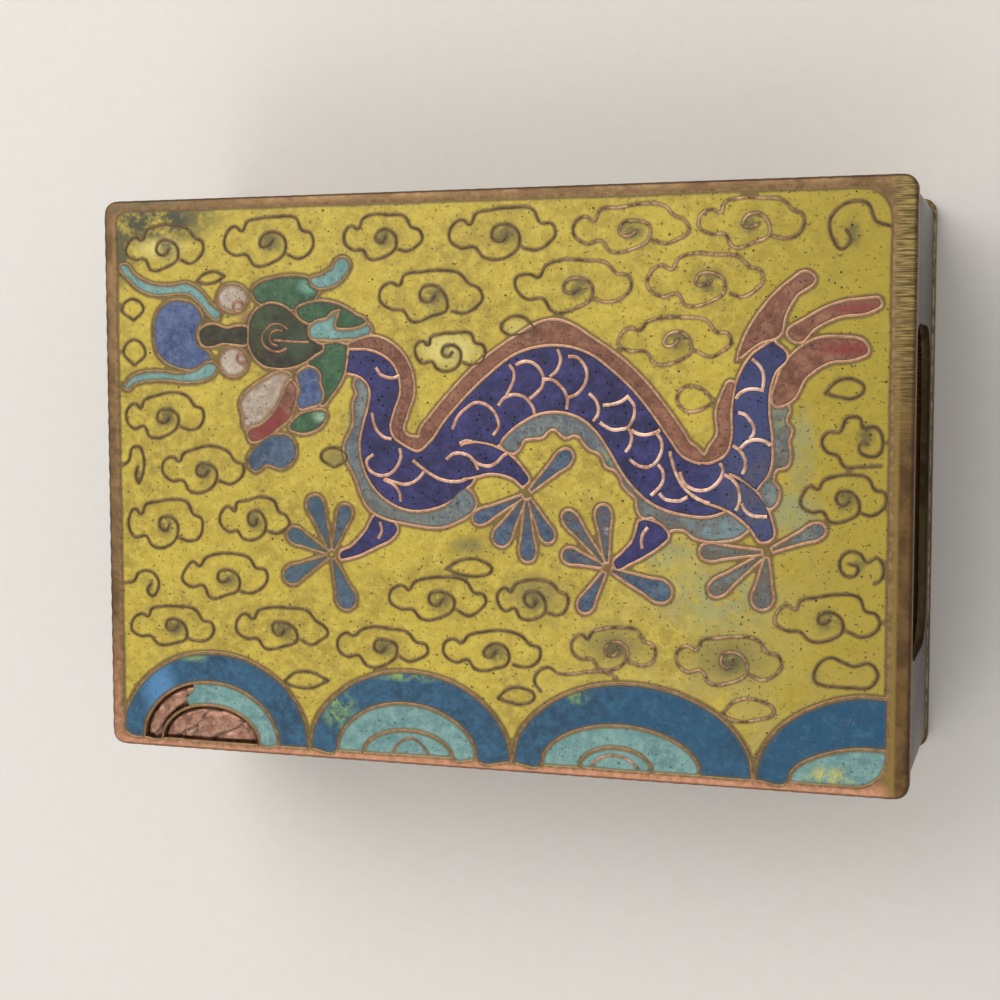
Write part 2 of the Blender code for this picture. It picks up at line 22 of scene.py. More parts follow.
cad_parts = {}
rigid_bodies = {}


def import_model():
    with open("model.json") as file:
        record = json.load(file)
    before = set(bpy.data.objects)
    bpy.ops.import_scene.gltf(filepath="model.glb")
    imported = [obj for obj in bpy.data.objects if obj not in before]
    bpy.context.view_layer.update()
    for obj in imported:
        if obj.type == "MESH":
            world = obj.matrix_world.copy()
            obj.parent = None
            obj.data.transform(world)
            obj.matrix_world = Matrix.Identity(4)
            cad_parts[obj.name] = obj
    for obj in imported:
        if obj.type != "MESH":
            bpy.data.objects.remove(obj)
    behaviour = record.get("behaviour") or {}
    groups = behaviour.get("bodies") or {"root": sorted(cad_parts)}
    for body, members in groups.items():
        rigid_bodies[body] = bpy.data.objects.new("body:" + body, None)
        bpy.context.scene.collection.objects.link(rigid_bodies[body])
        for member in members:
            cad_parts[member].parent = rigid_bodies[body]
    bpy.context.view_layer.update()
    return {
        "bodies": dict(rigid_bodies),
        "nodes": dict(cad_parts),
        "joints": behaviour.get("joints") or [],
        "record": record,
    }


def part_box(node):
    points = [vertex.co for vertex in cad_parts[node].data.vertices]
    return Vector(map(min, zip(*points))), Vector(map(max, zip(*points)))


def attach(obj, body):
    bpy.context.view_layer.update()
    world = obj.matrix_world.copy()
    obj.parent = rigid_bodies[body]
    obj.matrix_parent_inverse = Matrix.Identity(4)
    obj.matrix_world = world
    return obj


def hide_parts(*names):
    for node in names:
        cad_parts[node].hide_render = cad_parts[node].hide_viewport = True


LOG = logging.getLogger("matchbox_cover")

Point = tuple[float, float]
Place = tuple[float, float, float]
Line = list[Point]
Triangle = tuple[int, int, int]
Rgb = tuple[int, int, int]

MM = 0.001
ROOT = "root"
METAL_NODES = ("walls", "top_plate", "bottom_plate")
SEED = 1829

# How outlines are read from the frame's nodes and made to flow
WELD = 1e-7
SAME_LEVEL = 2e-6
MERGE = 0.0005
LINE_STEP = 0.17
SHARP_TURN = math.radians(80)
WIRE_SHARP_TURN = math.radians(125)
LONG_SIDE = 4.0
WANDER = 0.05
WANDER_SCALE = 0.32

# Heights below a plate's face
RIDGE_FOOT = 0.036
GLASS_DIP = 0.028
WIRE_WIDTH = 0.18
CELL_GROWTH = 0.03
CELL_FLOOR = 0.6
GLASS_FLOOR = 0.57
RIDGE_HALF = 0.11
EDGE_ROUND = 0.24

# Share of a distance that counts as the whole, where hand-laid lines come nearer to each other
NEARLY = 0.8
# Distance between the points of glass in the open
GLASS_GRAIN = 0.2
GROUND_GRAIN = 0.3

# Half the breadth of the body's wires, of which only the top stands out of the glass
SCALE_RADIUS = 0.23
# How far they are drawn on, to touch what they end on
SCALE_REACH = 0.12
# A wire has eight sides, and one of them lies flat on top as it is ground down with the glass
FLAT_TURN = math.pi / 8


class Side(Enum):
    """The two enamelled faces of the cover, each with the way it looks up."""

    FACE = 1
    UNDERSIDE = -1


def srgb(red: int, green: int, blue: int) -> tuple[float, float, float, float]:
    """Linear colour of an sRGB one.

    Args:
        red, green, blue: Values from 0 to 255.

    Returns:
        Linear red, green, blue and an alpha of one.
    """
    parts = []
    for value in (red, green, blue):
        share = value / 255
        parts.append(share / 12.92 if share <= 0.04045 else ((share + 0.055) / 1.055) ** 2.4)
    return (*parts, 1.0)


class Shader:
    """One Principled material, with short calls for the nodes that feed it."""

    def __init__(self, name: str) -> None:
        """Start a material.

        Args:
            name: Name of the material.
        """
        self.material = bpy.data.materials.new(name)
        self.material.use_nodes = True
        self.tree = self.material.node_tree
        self.principled = self.tree.nodes["Principled BSDF"]
        coordinates = self.tree.nodes.new("ShaderNodeTexCoord")
        self.place = coordinates.outputs["Object"]

    def node(self, kind: str, **settings: object) -> bpy.types.Node:
        """Add a node.

        Args:
            kind: Blender's name of the node type.
            settings: Properties set on it.

        Returns:
            The new node.
        """
        made = self.tree.nodes.new(kind)
        for name, value in settings.items():
            setattr(made, name, value)
        return made

    def feed(self, socket: bpy.types.NodeSocket, value: object) -> None:
        """Link an output to a socket, or set the socket's own value.

        Args:
            socket: Input that is fed.
            value: Output, number or colour.
        """
        if isinstance(value, bpy.types.NodeSocket):
            self.tree.links.new(value, socket)
        else:
            socket.default_value = value

    def noise(
        self, size: float, detail: float = 3.0, roughness: float = 0.5, distortion: float = 0.0,
        stretch: Place = (1.0, 1.0, 1.0),
    ) -> bpy.types.NodeSocket:
        """Noise from 0 to 1.

        Args:
            size: Size of its blotches in millimetres.
            detail: Finer layers.
            roughness: How strong the finer layers are.
            distortion: How far it swirls.
            stretch: How many times finer it is along each axis.

        Returns:
            The noise's value.
        """
        mapping = self.node("ShaderNodeMapping")
        self.feed(mapping.inputs["Vector"], self.place)
        mapping.inputs["Scale"].default_value = stretch
        made = self.node("ShaderNodeTexNoise")
        self.feed(made.inputs["Vector"], mapping.outputs[0])
        made.inputs["Scale"].default_value = 1.0 / (size * MM)
        made.inputs["Detail"].default_value = detail
        made.inputs["Roughness"].default_value = roughness
        made.inputs["Distortion"].default_value = distortion
        return made.outputs["Fac"]

    def across(self, axis: str, low: float, high: float) -> bpy.types.NodeSocket:
        """Share from 0 to 1 of the way along an axis.

        Args:
            axis: X, Y or Z.
            low: Where it is 0, in millimetres.
            high: Where it is 1.

        Returns:
            The share.
        """
        parts = self.node("ShaderNodeSeparateXYZ")
        self.feed(parts.inputs[0], self.place)
        return self.between(parts.outputs[axis], low * MM, high * MM)

    def between(self, value: bpy.types.NodeSocket, low: float, high: float) -> bpy.types.NodeSocket:
        """Smooth step of a value.

        Args:
            value: What is measured.
            low: Where the step starts, with 0.
            high: Where it ends, with 1.

        Returns:
            The step from 0 to 1.
        """
        made = self.node("ShaderNodeMapRange", interpolation_type="SMOOTHSTEP")
        self.feed(made.inputs["Value"], value)
        made.inputs["From Min"].default_value = low
        made.inputs["From Max"].default_value = high
        return made.outputs["Result"]

    def maths(self, operation: str, first: object, second: object) -> bpy.types.NodeSocket:
        """Work out a value from two.

        Args:
            operation: Blender's name of the operation.
            first, second: Numbers or outputs.

        Returns:
            The result.
        """
        made = self.node("ShaderNodeMath", operation=operation)
        self.feed(made.inputs[0], first)
        self.feed(made.inputs[1], second)
        return made.outputs[0]

    def times(self, first: object, second: object) -> bpy.types.NodeSocket:
        """Product of two values."""
        return self.maths("MULTIPLY", first, second)

    def mix(self, share: object, first: object, second: object) -> bpy.types.NodeSocket:
        """Mix of two colours.

        Args:
            share: How much of the second.
            first: Colour or output.
            second: Colour or output.

        Returns:
            The mixed colour.
        """
        made = self.node("ShaderNodeMix", data_type="RGBA")
        self.feed(made.inputs[0], share)
        self.feed(made.inputs[6], first)
        self.feed(made.inputs[7], second)
        return made.outputs[2]

    def attribute(self, name: str) -> bpy.types.NodeSocket:
        """Value of one of the mesh's own attributes."""
        return self.node("ShaderNodeAttribute", attribute_name=name).outputs["Fac"]

    def bump(self, height: bpy.types.NodeSocket, strength: float, distance: float) -> None:
        """Relief too fine for the mesh.

        Args:
            height: Height from 0 to 1.
            strength: Strength of the bump.
            distance: Height of it in millimetres.
        """
        made = self.node("ShaderNodeBump")
        made.inputs["Strength"].default_value = strength
        made.inputs["Distance"].default_value = distance * MM
        self.feed(made.inputs["Height"], height)
        self.feed(self.principled.inputs["Normal"], made.outputs[0])

    def finish(self, colour: object, roughness: object, **settings: float) -> bpy.types.Material:
        """Feed the Principled shader.

        Args:
            colour: Base colour.
            roughness: Roughness.
            settings: Values of its other sockets, with _ for the spaces in their names.

        Returns:
            The material.
        """
        self.feed(self.principled.inputs["Base Color"], colour)
        self.feed(self.principled.inputs["Roughness"], roughness)
        for name, value in settings.items():
            self.principled.inputs[name.replace("_", " ")].default_value = value
        return self.material


@dataclass(frozen=True)
class Finish:
    """A finish, whose material is made when it is first asked for.

    Attributes:
        name: Name of the material.
        slot: Material slot of the record.
    """

    name: str
    slot: str

    def material(self) -> bpy.types.Material:
        """The finish's one material."""
        return bpy.data.materials.get(self.name) or self.mixed(Shader(self.name))

    def mixed(self, shader: Shader) -> bpy.types.Material:
        """Mix the material.

        Args:
            shader: Material being made.

        Returns:
            The finished material.
        """
        raise NotImplementedError


@dataclass(frozen=True)
class Enamel(Finish):
    """Fired glass of one colour, dark along its wires, blotched, pinholed and rubbed.

    Attributes:
        middle, light, dark: sRGB of the glass and of its blotches.
        seam: sRGB of the glass right beside a wire.
        seam_reach: How far from a wire that dirt goes, in millimetres.
        speck: How many fine dark specks it has, from 0 to 1.
    """

    middle: Rgb
    light: Rgb
    dark: Rgb
    seam: Rgb
    seam_reach: float = 0.22
    speck: float = 0.3

    def mixed(self, shader: Shader) -> bpy.types.Material:
        """The glass's material.

        Args:
            shader: Material being made.

        Returns:
            The finished material.
        """
        blotch = shader.between(shader.noise(4.5, 4.0, 0.6, 0.6), 0.38, 0.64)
        cloudy = shader.between(shader.noise(0.9, 6.0, 0.72), 0.40, 0.66)
        colour = shader.mix(blotch, srgb(*self.dark), srgb(*self.middle))
        colour = shader.mix(shader.times(cloudy, 0.85), colour, srgb(*self.light))
        mottle = shader.between(shader.noise(0.4, 4.0, 0.7), 0.50, 0.68)
        colour = shader.mix(shader.times(mottle, 0.6), colour, srgb(*self.dark))
        colour = self.tinted(shader, colour)
        wobble = shader.times(shader.noise(0.6, 3.0), 0.4 * self.seam_reach)
        reach = shader.maths("ADD", shader.attribute("seam"), wobble)
        beside = shader.between(reach, self.seam_reach, 0.35 * self.seam_reach)
        colour = shader.mix(shader.times(beside, 0.8), colour, srgb(*self.seam))
        faint, strong = 0.65 - 0.07 * self.speck, 0.70 - 0.06 * self.speck
        specks = shader.between(shader.noise(0.26, 2.0, 0.6), faint, strong)
        colour = shader.mix(shader.times(specks, 0.7), colour, srgb(44, 36, 26))
        colour = shader.mix(shader.between(shader.attribute("pit"), 0.25, 0.8), colour, srgb(22, 18, 14))
        rub = shader.noise(0.9, 4.0, 0.6)
        ripple = shader.mix(0.35, rub, shader.noise(0.22, 2.0))
        shader.bump(ripple, 0.22, 0.02)
        roughness = shader.maths("ADD", shader.times(rub, 0.2), 0.36)
        return shader.finish(colour, roughness, Specular_IOR_Level=0.35, Coat_Weight=0.06, Coat_Roughness=0.3)

    def tinted(self, shader: Shader, colour: bpy.types.NodeSocket) -> bpy.types.NodeSocket:
        """Hook for what only some glass has.

        Args:
            shader: Material being made.
            colour: Colour so far.

        Returns:
            The colour with it.
        """
        return colour


@dataclass(frozen=True)
class YellowEnamel(Enamel):
    """The yellow ground: lemon at top and left, duller at lower right, painted shade to the right, stained
    and patched.
    """

    def tinted(self, shader: Shader, colour: bpy.types.NodeSocket) -> bpy.types.NodeSocket:
        """The ground's drift of colour, its painted shade to the right, its stains, pale fills and green
        bleeding.

        Args:
            shader: Material being made.
            colour: Colour so far.

        Returns:
            The colour with them.
        """
        right = shader.across("X", -4.0, 26.0)
        low = shader.across("Y", 6.0, -16.0)
        dull = shader.times(right, low)
        dull = shader.times(dull, shader.between(shader.noise(3.0, 4.0, 0.6), 0.35, 0.6))
        colour = shader.mix(shader.times(dull, 0.7), colour, srgb(172, 158, 96))
        # Painted shade: the ground turns darker and a deeper yellow towards the right, where the light falls
        # off
        painted_shade_right = shader.across("X", 12.0, 27.0)
        colour = shader.mix(shader.times(painted_shade_right, 0.75), colour, srgb(158, 138, 40))
        colour = shader.mix(shader.attribute("pale"), colour, srgb(214, 200, 118))
        colour = shader.mix(shader.attribute("stain"), colour, srgb(122, 112, 62))
        grime = shader.between(shader.noise(1.1, 5.0, 0.65), 0.32, 0.54)
        colour = shader.mix(shader.times(shader.attribute("green"), grime), colour, srgb(138, 146, 108))
        colour = shader.mix(shader.attribute("rust"), colour, srgb(134, 98, 70))
        darkened = shader.times(shader.attribute("soot"), grime)
        return shader.mix(darkened, colour, srgb(70, 70, 48))


@dataclass(frozen=True)
class BleedingEnamel(Enamel):
    """Glass into which a neighbour's colour has run in places.

    Attributes:
        bleed: sRGB of what has run into it.
        far: sRGB that it drifts to where the attribute pale says.
        grime: sRGB of the dirt in it.
    """

    bleed: Rgb = (140, 170, 90)
    far: Rgb = (90, 110, 150)
    grime: Rgb = (98, 86, 70)

    def tinted(self, shader: Shader, colour: bpy.types.NodeSocket) -> bpy.types.NodeSocket:
        """The run colour and the drift along the piece.

        Args:
            shader: Material being made.
            colour: Colour so far.

        Returns:
            The colour with them.
        """
        colour = shader.mix(shader.attribute("pale"), colour, srgb(*self.far))
        dirt = shader.between(shader.noise(0.7, 5.0, 0.7), 0.36, 0.58)
        colour = shader.mix(shader.times(shader.attribute("soot"), dirt), colour, srgb(*self.grime))
        ragged = shader.between(shader.noise(0.8, 4.0, 0.6), 0.35, 0.6)
        return shader.mix(shader.times(shader.attribute("stain"), ragged), colour, srgb(*self.bleed))


@dataclass(frozen=True)
class WornCopper(Finish):
    """Copper of a plate: brown where it is tarnished, salmon or gold where it is rubbed bare."""

    name: str = "worn_copper"
    slot: str = "copper"

    def mixed(self, shader: Shader) -> bpy.types.Material:
        """The plates' material.

        Args:
            shader: Material being made.

        Returns:
            The finished material.
        """
        worn = shader.between(shader.noise(2.6, 5.0, 0.65, 0.4), 0.38, 0.62)
        fine = shader.between(shader.noise(0.5, 5.0, 0.7), 0.35, 0.7)
        brown = shader.mix(worn, srgb(104, 80, 52), srgb(142, 112, 76))
        salmon = shader.mix(fine, srgb(176, 122, 92), srgb(214, 158, 126))
        corner = shader.times(shader.across("Y", -11.0, -16.0), shader.across("X", -27.0, -28.0))
        front = shader.maths("MAXIMUM", shader.across("Y", -18.9, -19.5), shader.times(corner, 0.7))
        rim = shader.mix(shader.times(front, 0.95), brown, salmon)
        filed = shader.between(shader.noise(0.3, 3.0, 0.6, 0.0, (0.15, 2.5, 1.0)), 0.4, 0.62)
        gold = shader.mix(filed, srgb(94, 76, 44), srgb(162, 142, 88))
        umber = shader.mix(worn, srgb(88, 64, 38), srgb(120, 92, 54))
        umber = shader.mix(shader.across("X", 27.95, 28.2), srgb(140, 116, 62), umber)
        end = shader.mix(shader.across("Y", 1.0, 12.0), umber, gold)
        rim = shader.mix(shader.across("X", 27.2, 27.9), rim, end)
        grime = shader.times(shader.across("X", -18.0, -24.0), shader.across("Y", 18.6, 19.3))
        rim = shader.mix(shader.times(grime, worn), rim, srgb(84, 80, 60))
        dull_wire = shader.mix(fine, srgb(104, 84, 52), srgb(146, 116, 78))
        bright_wire = shader.mix(fine, srgb(168, 124, 98), srgb(206, 162, 132))
        wire = shader.mix(shader.attribute("bright"), dull_wire, bright_wire)
        colour = shader.mix(shader.attribute("rim"), wire, rim)
        edge = shader.between(shader.attribute("edge"), 0.30, 0.0)
        colour = shader.mix(shader.times(edge, 0.8), colour, srgb(74, 48, 34))
        bare = shader.mix(fine, srgb(134, 94, 78), srgb(182, 142, 118))
        bare = shader.mix(shader.between(shader.noise(0.9, 5.0, 0.7), 0.5, 0.74), bare, srgb(104, 90, 76))
        creased = shader.times(shader.between(shader.attribute("crease"), 0.5, 1.0), 0.75)
        bare = shader.mix(creased, bare, srgb(62, 48, 42))
        colour = shader.mix(shader.attribute("bare"), colour, bare)
        strokes = shader.noise(0.35, 3.0, 0.6, 0.0, (0.12, 3.0, 1.0))
        grain = shader.mix(0.5, strokes, shader.noise(0.3, 5.0, 0.7))
        shader.bump(grain, 0.35, 0.03)
        roughness = shader.maths("ADD", shader.times(fine, 0.15), 0.36)
        return shader.finish(colour, roughness, Metallic=0.75)


@dataclass(frozen=True)
class WireMetal(Finish):
    """Flat copper wire polished down with the glass.

    Attributes:
        dark, light: sRGB of its tarnish and of its bare top.
        pink: sRGB at the closed end, where it is rubbed more.
    """

    dark: Rgb
    light: Rgb
    pink: Rgb

    def mixed(self, shader: Shader) -> bpy.types.Material:
        """The wire's material.

        Args:
            shader: Material being made.

        Returns:
            The finished material.
        """
        worn = shader.between(shader.noise(0.9, 5.0, 0.7), 0.36, 0.66)
        colour = shader.mix(worn, srgb(*self.dark), srgb(*self.light))
        rubbed = shader.times(shader.across("X", 2.0, 13.0), shader.across("X", 23.0, 19.5))
        rubbed = shader.times(rubbed, worn)
        colour = shader.mix(rubbed, colour, srgb(*self.pink))
        shader.bump(shader.noise(0.25, 4.0, 0.7), 0.3, 0.02)
        roughness = shader.maths("ADD", shader.times(worn, -0.12), 0.5)
        return shader.finish(colour, roughness, Metallic=0.7)


@dataclass(frozen=True)
class RubbedBrass(Finish):
    """Brass of the walls, grey-gold and rubbed along the strip."""

    name: str = "rubbed_brass"
    slot: str = "brass"

    def mixed(self, shader: Shader) -> bpy.types.Material:
        """The walls' material.

        Args:
            shader: Material being made.

        Returns:
            The finished material.
        """
        worn = shader.between(shader.noise(3.0, 6.0, 0.65, 0.5), 0.36, 0.64)
        colour = shader.mix(worn, srgb(142, 116, 78), srgb(190, 168, 122))
        pale = shader.between(shader.noise(1.1, 5.0, 0.6), 0.5, 0.75)
        colour = shader.mix(shader.times(pale, 0.6), colour, srgb(206, 192, 166))
        spots = shader.between(shader.noise(0.5, 3.0, 0.6), 0.66, 0.74)
        colour = shader.mix(shader.times(spots, 0.7), colour, srgb(74, 56, 38))
        # Darker bands near the bottom and the top of the strip: partly dirt along the joints with the plates,
        # partly painted shade by the floor and under the top plate's edge
        darkened = shader.maths("SUBTRACT", 1.0, shader.across("Z", 1.5, 3.4))
        top = shader.across("Z", 15.6, 16.6)
        darkened = shader.maths("MAXIMUM", darkened, top)
        colour = shader.mix(shader.times(darkened, 0.45), colour, srgb(92, 70, 46))
        # Painted shade: the closed end of the strip is made nearly black for the shadow that falls on it
        colour = shader.mix(shader.times(shader.across("X", 28.2, 28.8), 0.92), colour, srgb(38, 30, 24))
        scratches = shader.noise(0.12, 2.0, 0.5, 0.0, (0.06, 0.06, 2.5))
        grain = shader.mix(0.4, scratches, shader.noise(0.4, 4.0, 0.7))
        shader.bump(grain, 0.3, 0.03)
        roughness = shader.maths("ADD", shader.times(scratches, 0.25), 0.22)
        return shader.finish(colour, roughness, Metallic=0.95)


@dataclass(frozen=True)
class Solder(Finish):
    """Grey solder run along the joints."""

    name: str = "grey_solder"
    slot: str = "brass"

    def mixed(self, shader: Shader) -> bpy.types.Material:
        """The solder's material.

        Args:
            shader: Material being made.

        Returns:
            The finished material.
        """
        worn = shader.between(shader.noise(0.8, 4.0, 0.6), 0.35, 0.65)
        colour = shader.mix(worn, srgb(96, 80, 60), srgb(160, 146, 120))
        shader.bump(shader.noise(0.35, 3.0, 0.6), 0.5, 0.05)
        return shader.finish(colour, 0.45, Metallic=0.85)


@dataclass(frozen=True)
class PaleTable:
    """Matt, warm white floor."""

    name: str = "pale_table"

    def material(self) -> bpy.types.Material:
        """The floor's material.

        Returns:
            The material.
        """
        shader = Shader(self.name)
        grain = shader.noise(1.2, 4.0, 0.6)
        colour = shader.mix(grain, srgb(219, 215, 210), srgb(225, 222, 217))
        shader.bump(grain, 0.05, 0.05)
        return shader.finish(colour, 0.75, Specular_IOR_Level=0.2)


YELLOW = YellowEnamel(
    "yellow_glass", "yellow_enamel", (186, 164, 56), (202, 180, 74), (160, 138, 50), (86, 66, 40), 0.32, 0.3
)
ULTRAMARINE = BleedingEnamel(
    "ultramarine_glass", "dark_blue_enamel",
    (44, 42, 94), (62, 58, 116), (30, 28, 68), (38, 32, 48), 0.16, 0.8,
    bleed=(62, 74, 96), far=(60, 70, 112),
)
SLATE = BleedingEnamel(
    "slate_glass", "slate_enamel",
    (104, 112, 112), (130, 138, 130), (80, 88, 98), (96, 86, 64), 0.26, 0.6,
    bleed=(150, 160, 104), far=(114, 136, 142),
)
# Its bleed colour is the white spot on a toe of the third paw: a chip, made bright as a painted glint too
STEEL = BleedingEnamel(
    "steel_glass", "slate_enamel",
    (70, 88, 112), (92, 110, 126), (50, 64, 92), (84, 80, 60), 0.2, 0.6,
    bleed=(228, 224, 216), far=(62, 92, 96),
)
COBALT = BleedingEnamel(
    "cobalt_glass", "bright_blue_enamel",
    (78, 94, 134), (98, 113, 146), (54, 68, 112), (84, 82, 72), 0.30, 0.4,
    bleed=(120, 130, 120), far=(86, 112, 172),
)
CERULEAN = BleedingEnamel(
    "cerulean_glass", "blue_enamel",
    (38, 80, 108), (52, 100, 130), (28, 62, 86), (80, 74, 56), 0.24, 0.2,
    bleed=(140, 172, 88), far=(86, 140, 186), grime=(20, 74, 106),
)
TURQUOISE = BleedingEnamel(
    "turquoise_glass", "turquoise_enamel",
    (108, 148, 144), (134, 168, 162), (88, 128, 128), (100, 96, 66), 0.24, 0.2,
    bleed=(184, 182, 96), far=(150, 182, 156),
)
MADDER = BleedingEnamel(
    "madder_glass", "red_enamel",
    (130, 84, 62), (152, 106, 82), (104, 60, 44), (98, 70, 50), 0.18, 0.7,
    bleed=(178, 140, 120), far=(128, 46, 46),
)
GREEN = BleedingEnamel(
    "green_glass", "green_enamel",
    (52, 90, 58), (76, 110, 76), (40, 68, 48), (66, 64, 40), 0.24, 0.4,
    bleed=(150, 176, 150), far=(110, 160, 140),
)
UMBER = BleedingEnamel(
    "umber_glass", "olive_enamel",
    (52, 48, 32), (74, 70, 46), (36, 34, 22), (50, 40, 26), 0.2, 0.8,
    bleed=(62, 84, 48), far=(60, 84, 60),
)
PEARL = BleedingEnamel(
    "pearl_glass", "pearl_enamel",
    (176, 160, 144), (196, 184, 170), (152, 132, 114), (124, 98, 66), 0.34, 0.3,
    bleed=(176, 132, 108), far=(196, 190, 180),
)

ENAMEL_OF = {
    "ground": YELLOW, "body": ULTRAMARINE, "foreleg_far": ULTRAMARINE, "foreleg_near": ULTRAMARINE,
    "hind_leg_far": ULTRAMARINE, "hind_leg_near": ULTRAMARINE, "hem_chest": SLATE, "hem_belly": SLATE,
    "hem_tail": SLATE, "paw": STEEL, "paw_4": SLATE, "beard": STEEL, "nose": COBALT, "cheek_tuft": COBALT,
    "wave_crest": CERULEAN, "wave_hollow": TURQUOISE, "wave_heart": TURQUOISE, "whisker": TURQUOISE,
    "horn": TURQUOISE, "horn_tip": TURQUOISE, "fin": MADDER, "tongue": MADDER, "tail_flame": MADDER,
    "ear": GREEN, "mane": GREEN, "nose_bridge": UMBER, "crown": UMBER, "eye": PEARL, "jaw": PEARL,
}
# Pieces whose wires are rubbed bright, from 0 to 1
BRIGHT_WIRES = {
    "body": 1.0, "fin": 0.85, "foreleg": 1.0, "hind_leg": 1.0, "hem_belly": 0.9, "hem_chest": 0.7,
    "hem_tail": 0.7, "paw_1": 0.3, "paw_2": 0.7, "paw_3": 0.8, "paw_4": 0.8, "tail_flame": 0.75,
    "crown": 0.35, "nose_bridge": 0.3, "ear": 0.35, "horn": 0.35, "mane_lower": 0.5, "mane_leaf": 0.4,
    "cheek_tuft": 0.4,
    "jaw": 0.35, "tongue": 0.4, "wave": 0.15, "ground": 0.1, "whisker": 0.1, "nose": 0.1, "eye": 0.12,
    "beard": 0.1, "mane_upper": 0.1, "horn_tip": 0.1,
}
# Glass whose narrow ends are rounded
SOFT_ENDED = (
    "fin", "whisker", "horn", "nose", "beard", "tail_flame", "hem", "mane", "cheek", "foreleg_near",
    "hind_leg_far", "jaw", "tongue", "eye",
)


def longest_match(table: dict[str, object], name: str, other: object) -> object:
    """Entry of a table whose key is the longest start of a name.

    Args:
        table: Values by the start of a name.
        name: The whole name.
        other: What is given if none fits.

    Returns:
        The value found.
    """
    plain = name.removeprefix("under_")
    fitting = [key for key in table if plain.startswith(key)]
    return table[max(fitting, key=len)] if fitting else other


def deselect_all() -> None:
    """Leave nothing selected and nothing active."""
    bpy.ops.object.select_all(action="DESELECT")
    bpy.context.view_layer.objects.active = None


def make_active(item: bpy.types.Object) -> None:
    """Select one object alone."""
    deselect_all()
    item.select_set(True)
    bpy.context.view_layer.objects.active = item


def wander(x: float, y: float) -> Point:
    """Where a point of the drawn picture really lies, a little off, as work laid by hand is.

    Args:
        x, y: Point in millimetres.

    Returns:
        The same point, moved by less than a tenth of a millimetre.
    """
    place = Vector((x * WANDER_SCALE, y * WANDER_SCALE, 3.7))
    off = noise.noise_vector(place) * WANDER
    return x + off.x, y + off.y


def flowing(
    points: Sequence[Point], closed: bool, step: float = LINE_STEP, sharp: float = SHARP_TURN
) -> Line:
    """A smooth line through some points, sharp only where it turns sharply.

    Args:
        points: Points in millimetres.
        closed: Whether it runs back to its start.
        step: Distance between the new points.
        sharp: Least turn in radians that stays a corner.

    Returns:
        The new points.
    """
    corners = [Vector(point) for point in points]
    count = len(corners)
    arriving, leaving = [], []
    for i, corner in enumerate(corners):
        before = corner - corners[i - 1]
        after = corners[(i + 1) % count] - corner
        if not closed and i == 0:
            before = after
        if not closed and i == count - 1:
            after = before
        if before.angle(after, 0.0) > sharp:
            arriving.append(before.normalized())
            leaving.append(after.normalized())
            continue
        if after.length > LONG_SIDE * before.length:
            along = after.normalized()
        elif before.length > LONG_SIDE * after.length:
            along = before.normalized()
        else:
            along = (before / before.length_squared + after / after.length_squared).normalized()
        arriving.append(along)
        leaving.append(along)
    made = []
    for i in range(count if closed else count - 1):
        start, end = corners[i], corners[(i + 1) % count]
        reach = (end - start).length
        steps = max(1, math.ceil(reach / step - 0.25))
        for number in range(steps):
            t = number / steps
            point = (
                (2 * t**3 - 3 * t**2 + 1) * start
                + (t**3 - 2 * t**2 + t) * reach * leaving[i]
                + (3 * t**2 - 2 * t**3) * end
                + (t**3 - t**2) * reach * arriving[(i + 1) % count]
            )
            made.append((point.x, point.y))
    if not closed:
        made.append(tuple(corners[-1]))
    return made


def anticlockwise(loop: Line) -> Line:
    """The closed outline, turned round if it runs clockwise."""
    area = sum(a[0] * b[1] - b[0] * a[1] for a, b in zip(loop, loop[1:] + loop[:1]))
    return loop if area > 0 else loop[::-1]


def grown(loop: Line, gap: float) -> Line:
    """An anticlockwise outline with its sides moved outwards.

    Args:
        loop: Closed outline.
        gap: How far they move.

    Returns:
        The grown outline.
    """
    made = []
    for i, (x, y) in enumerate(loop):
        before, after = loop[i - 1], loop[(i + 1) % len(loop)]
        first = Vector((x - before[0], y - before[1])).normalized()
        second = Vector((after[0] - x, after[1] - y)).normalized()
        out = Vector((first.y + second.y, -first.x - second.x)).normalized()
        reach = gap / max(out.dot(Vector((first.y, -first.x))), 0.6)
        made.append((x + out.x * reach, y + out.y * reach))
    return made


def along_edges(points: Sequence[Point], edges: Sequence[tuple[int, int]]) -> Line:
    """Points close together along some edges.

    Args:
        points: Points of a net.
        edges: Pairs of their numbers.

    Returns:
        The ends of the edges and three places between.
    """
    made = []
    for a, b in edges:
        (x, y), (end_x, end_y) = points[a], points[b]
        made += [(x + share * (end_x - x), y + share * (end_y - y)) for share in (0.0, 0.25, 0.5, 0.75)]
    return made


def loops_at(node: bpy.types.Object, height: float) -> list[Line]:
    """Closed outlines of a node's flat faces at one height.

    Args:
        node: CAD node, which isn't changed.
        height: Height in metres.

    Returns:
        Outlines in millimetres, each as it runs round its face.
    """
    mesh = bmesh.new()
    mesh.from_mesh(node.data)
    bmesh.ops.remove_doubles(mesh, verts=mesh.verts[:], dist=WELD)
    # Gone through as they come in the mesh, as a set of faces has another order in each run
    level = [f for f in mesh.faces if all(abs(v.co.z - height) < SAME_LEVEL for v in f.verts)]
    flat = set(level)
    following: dict[bmesh.types.BMVert, list[bmesh.types.BMVert]] = {}
    for face in level:
        for corner in face.loops:
            if sum(other in flat for other in corner.edge.link_faces) == 1:
                following.setdefault(corner.vert, []).append(corner.link_loop_next.vert)
    loops = []
    while following:
        start = next(iter(following))
        loop, vert = [], start
        while vert in following:
            loop.append((vert.co.x / MM, vert.co.y / MM))
            nexts = following[vert]
            following_vert = nexts.pop()
            if not nexts:
                del following[vert]
            vert = following_vert
            if vert is start:
                break
        loops.append(anticlockwise(loop))
    mesh.free()
    return loops


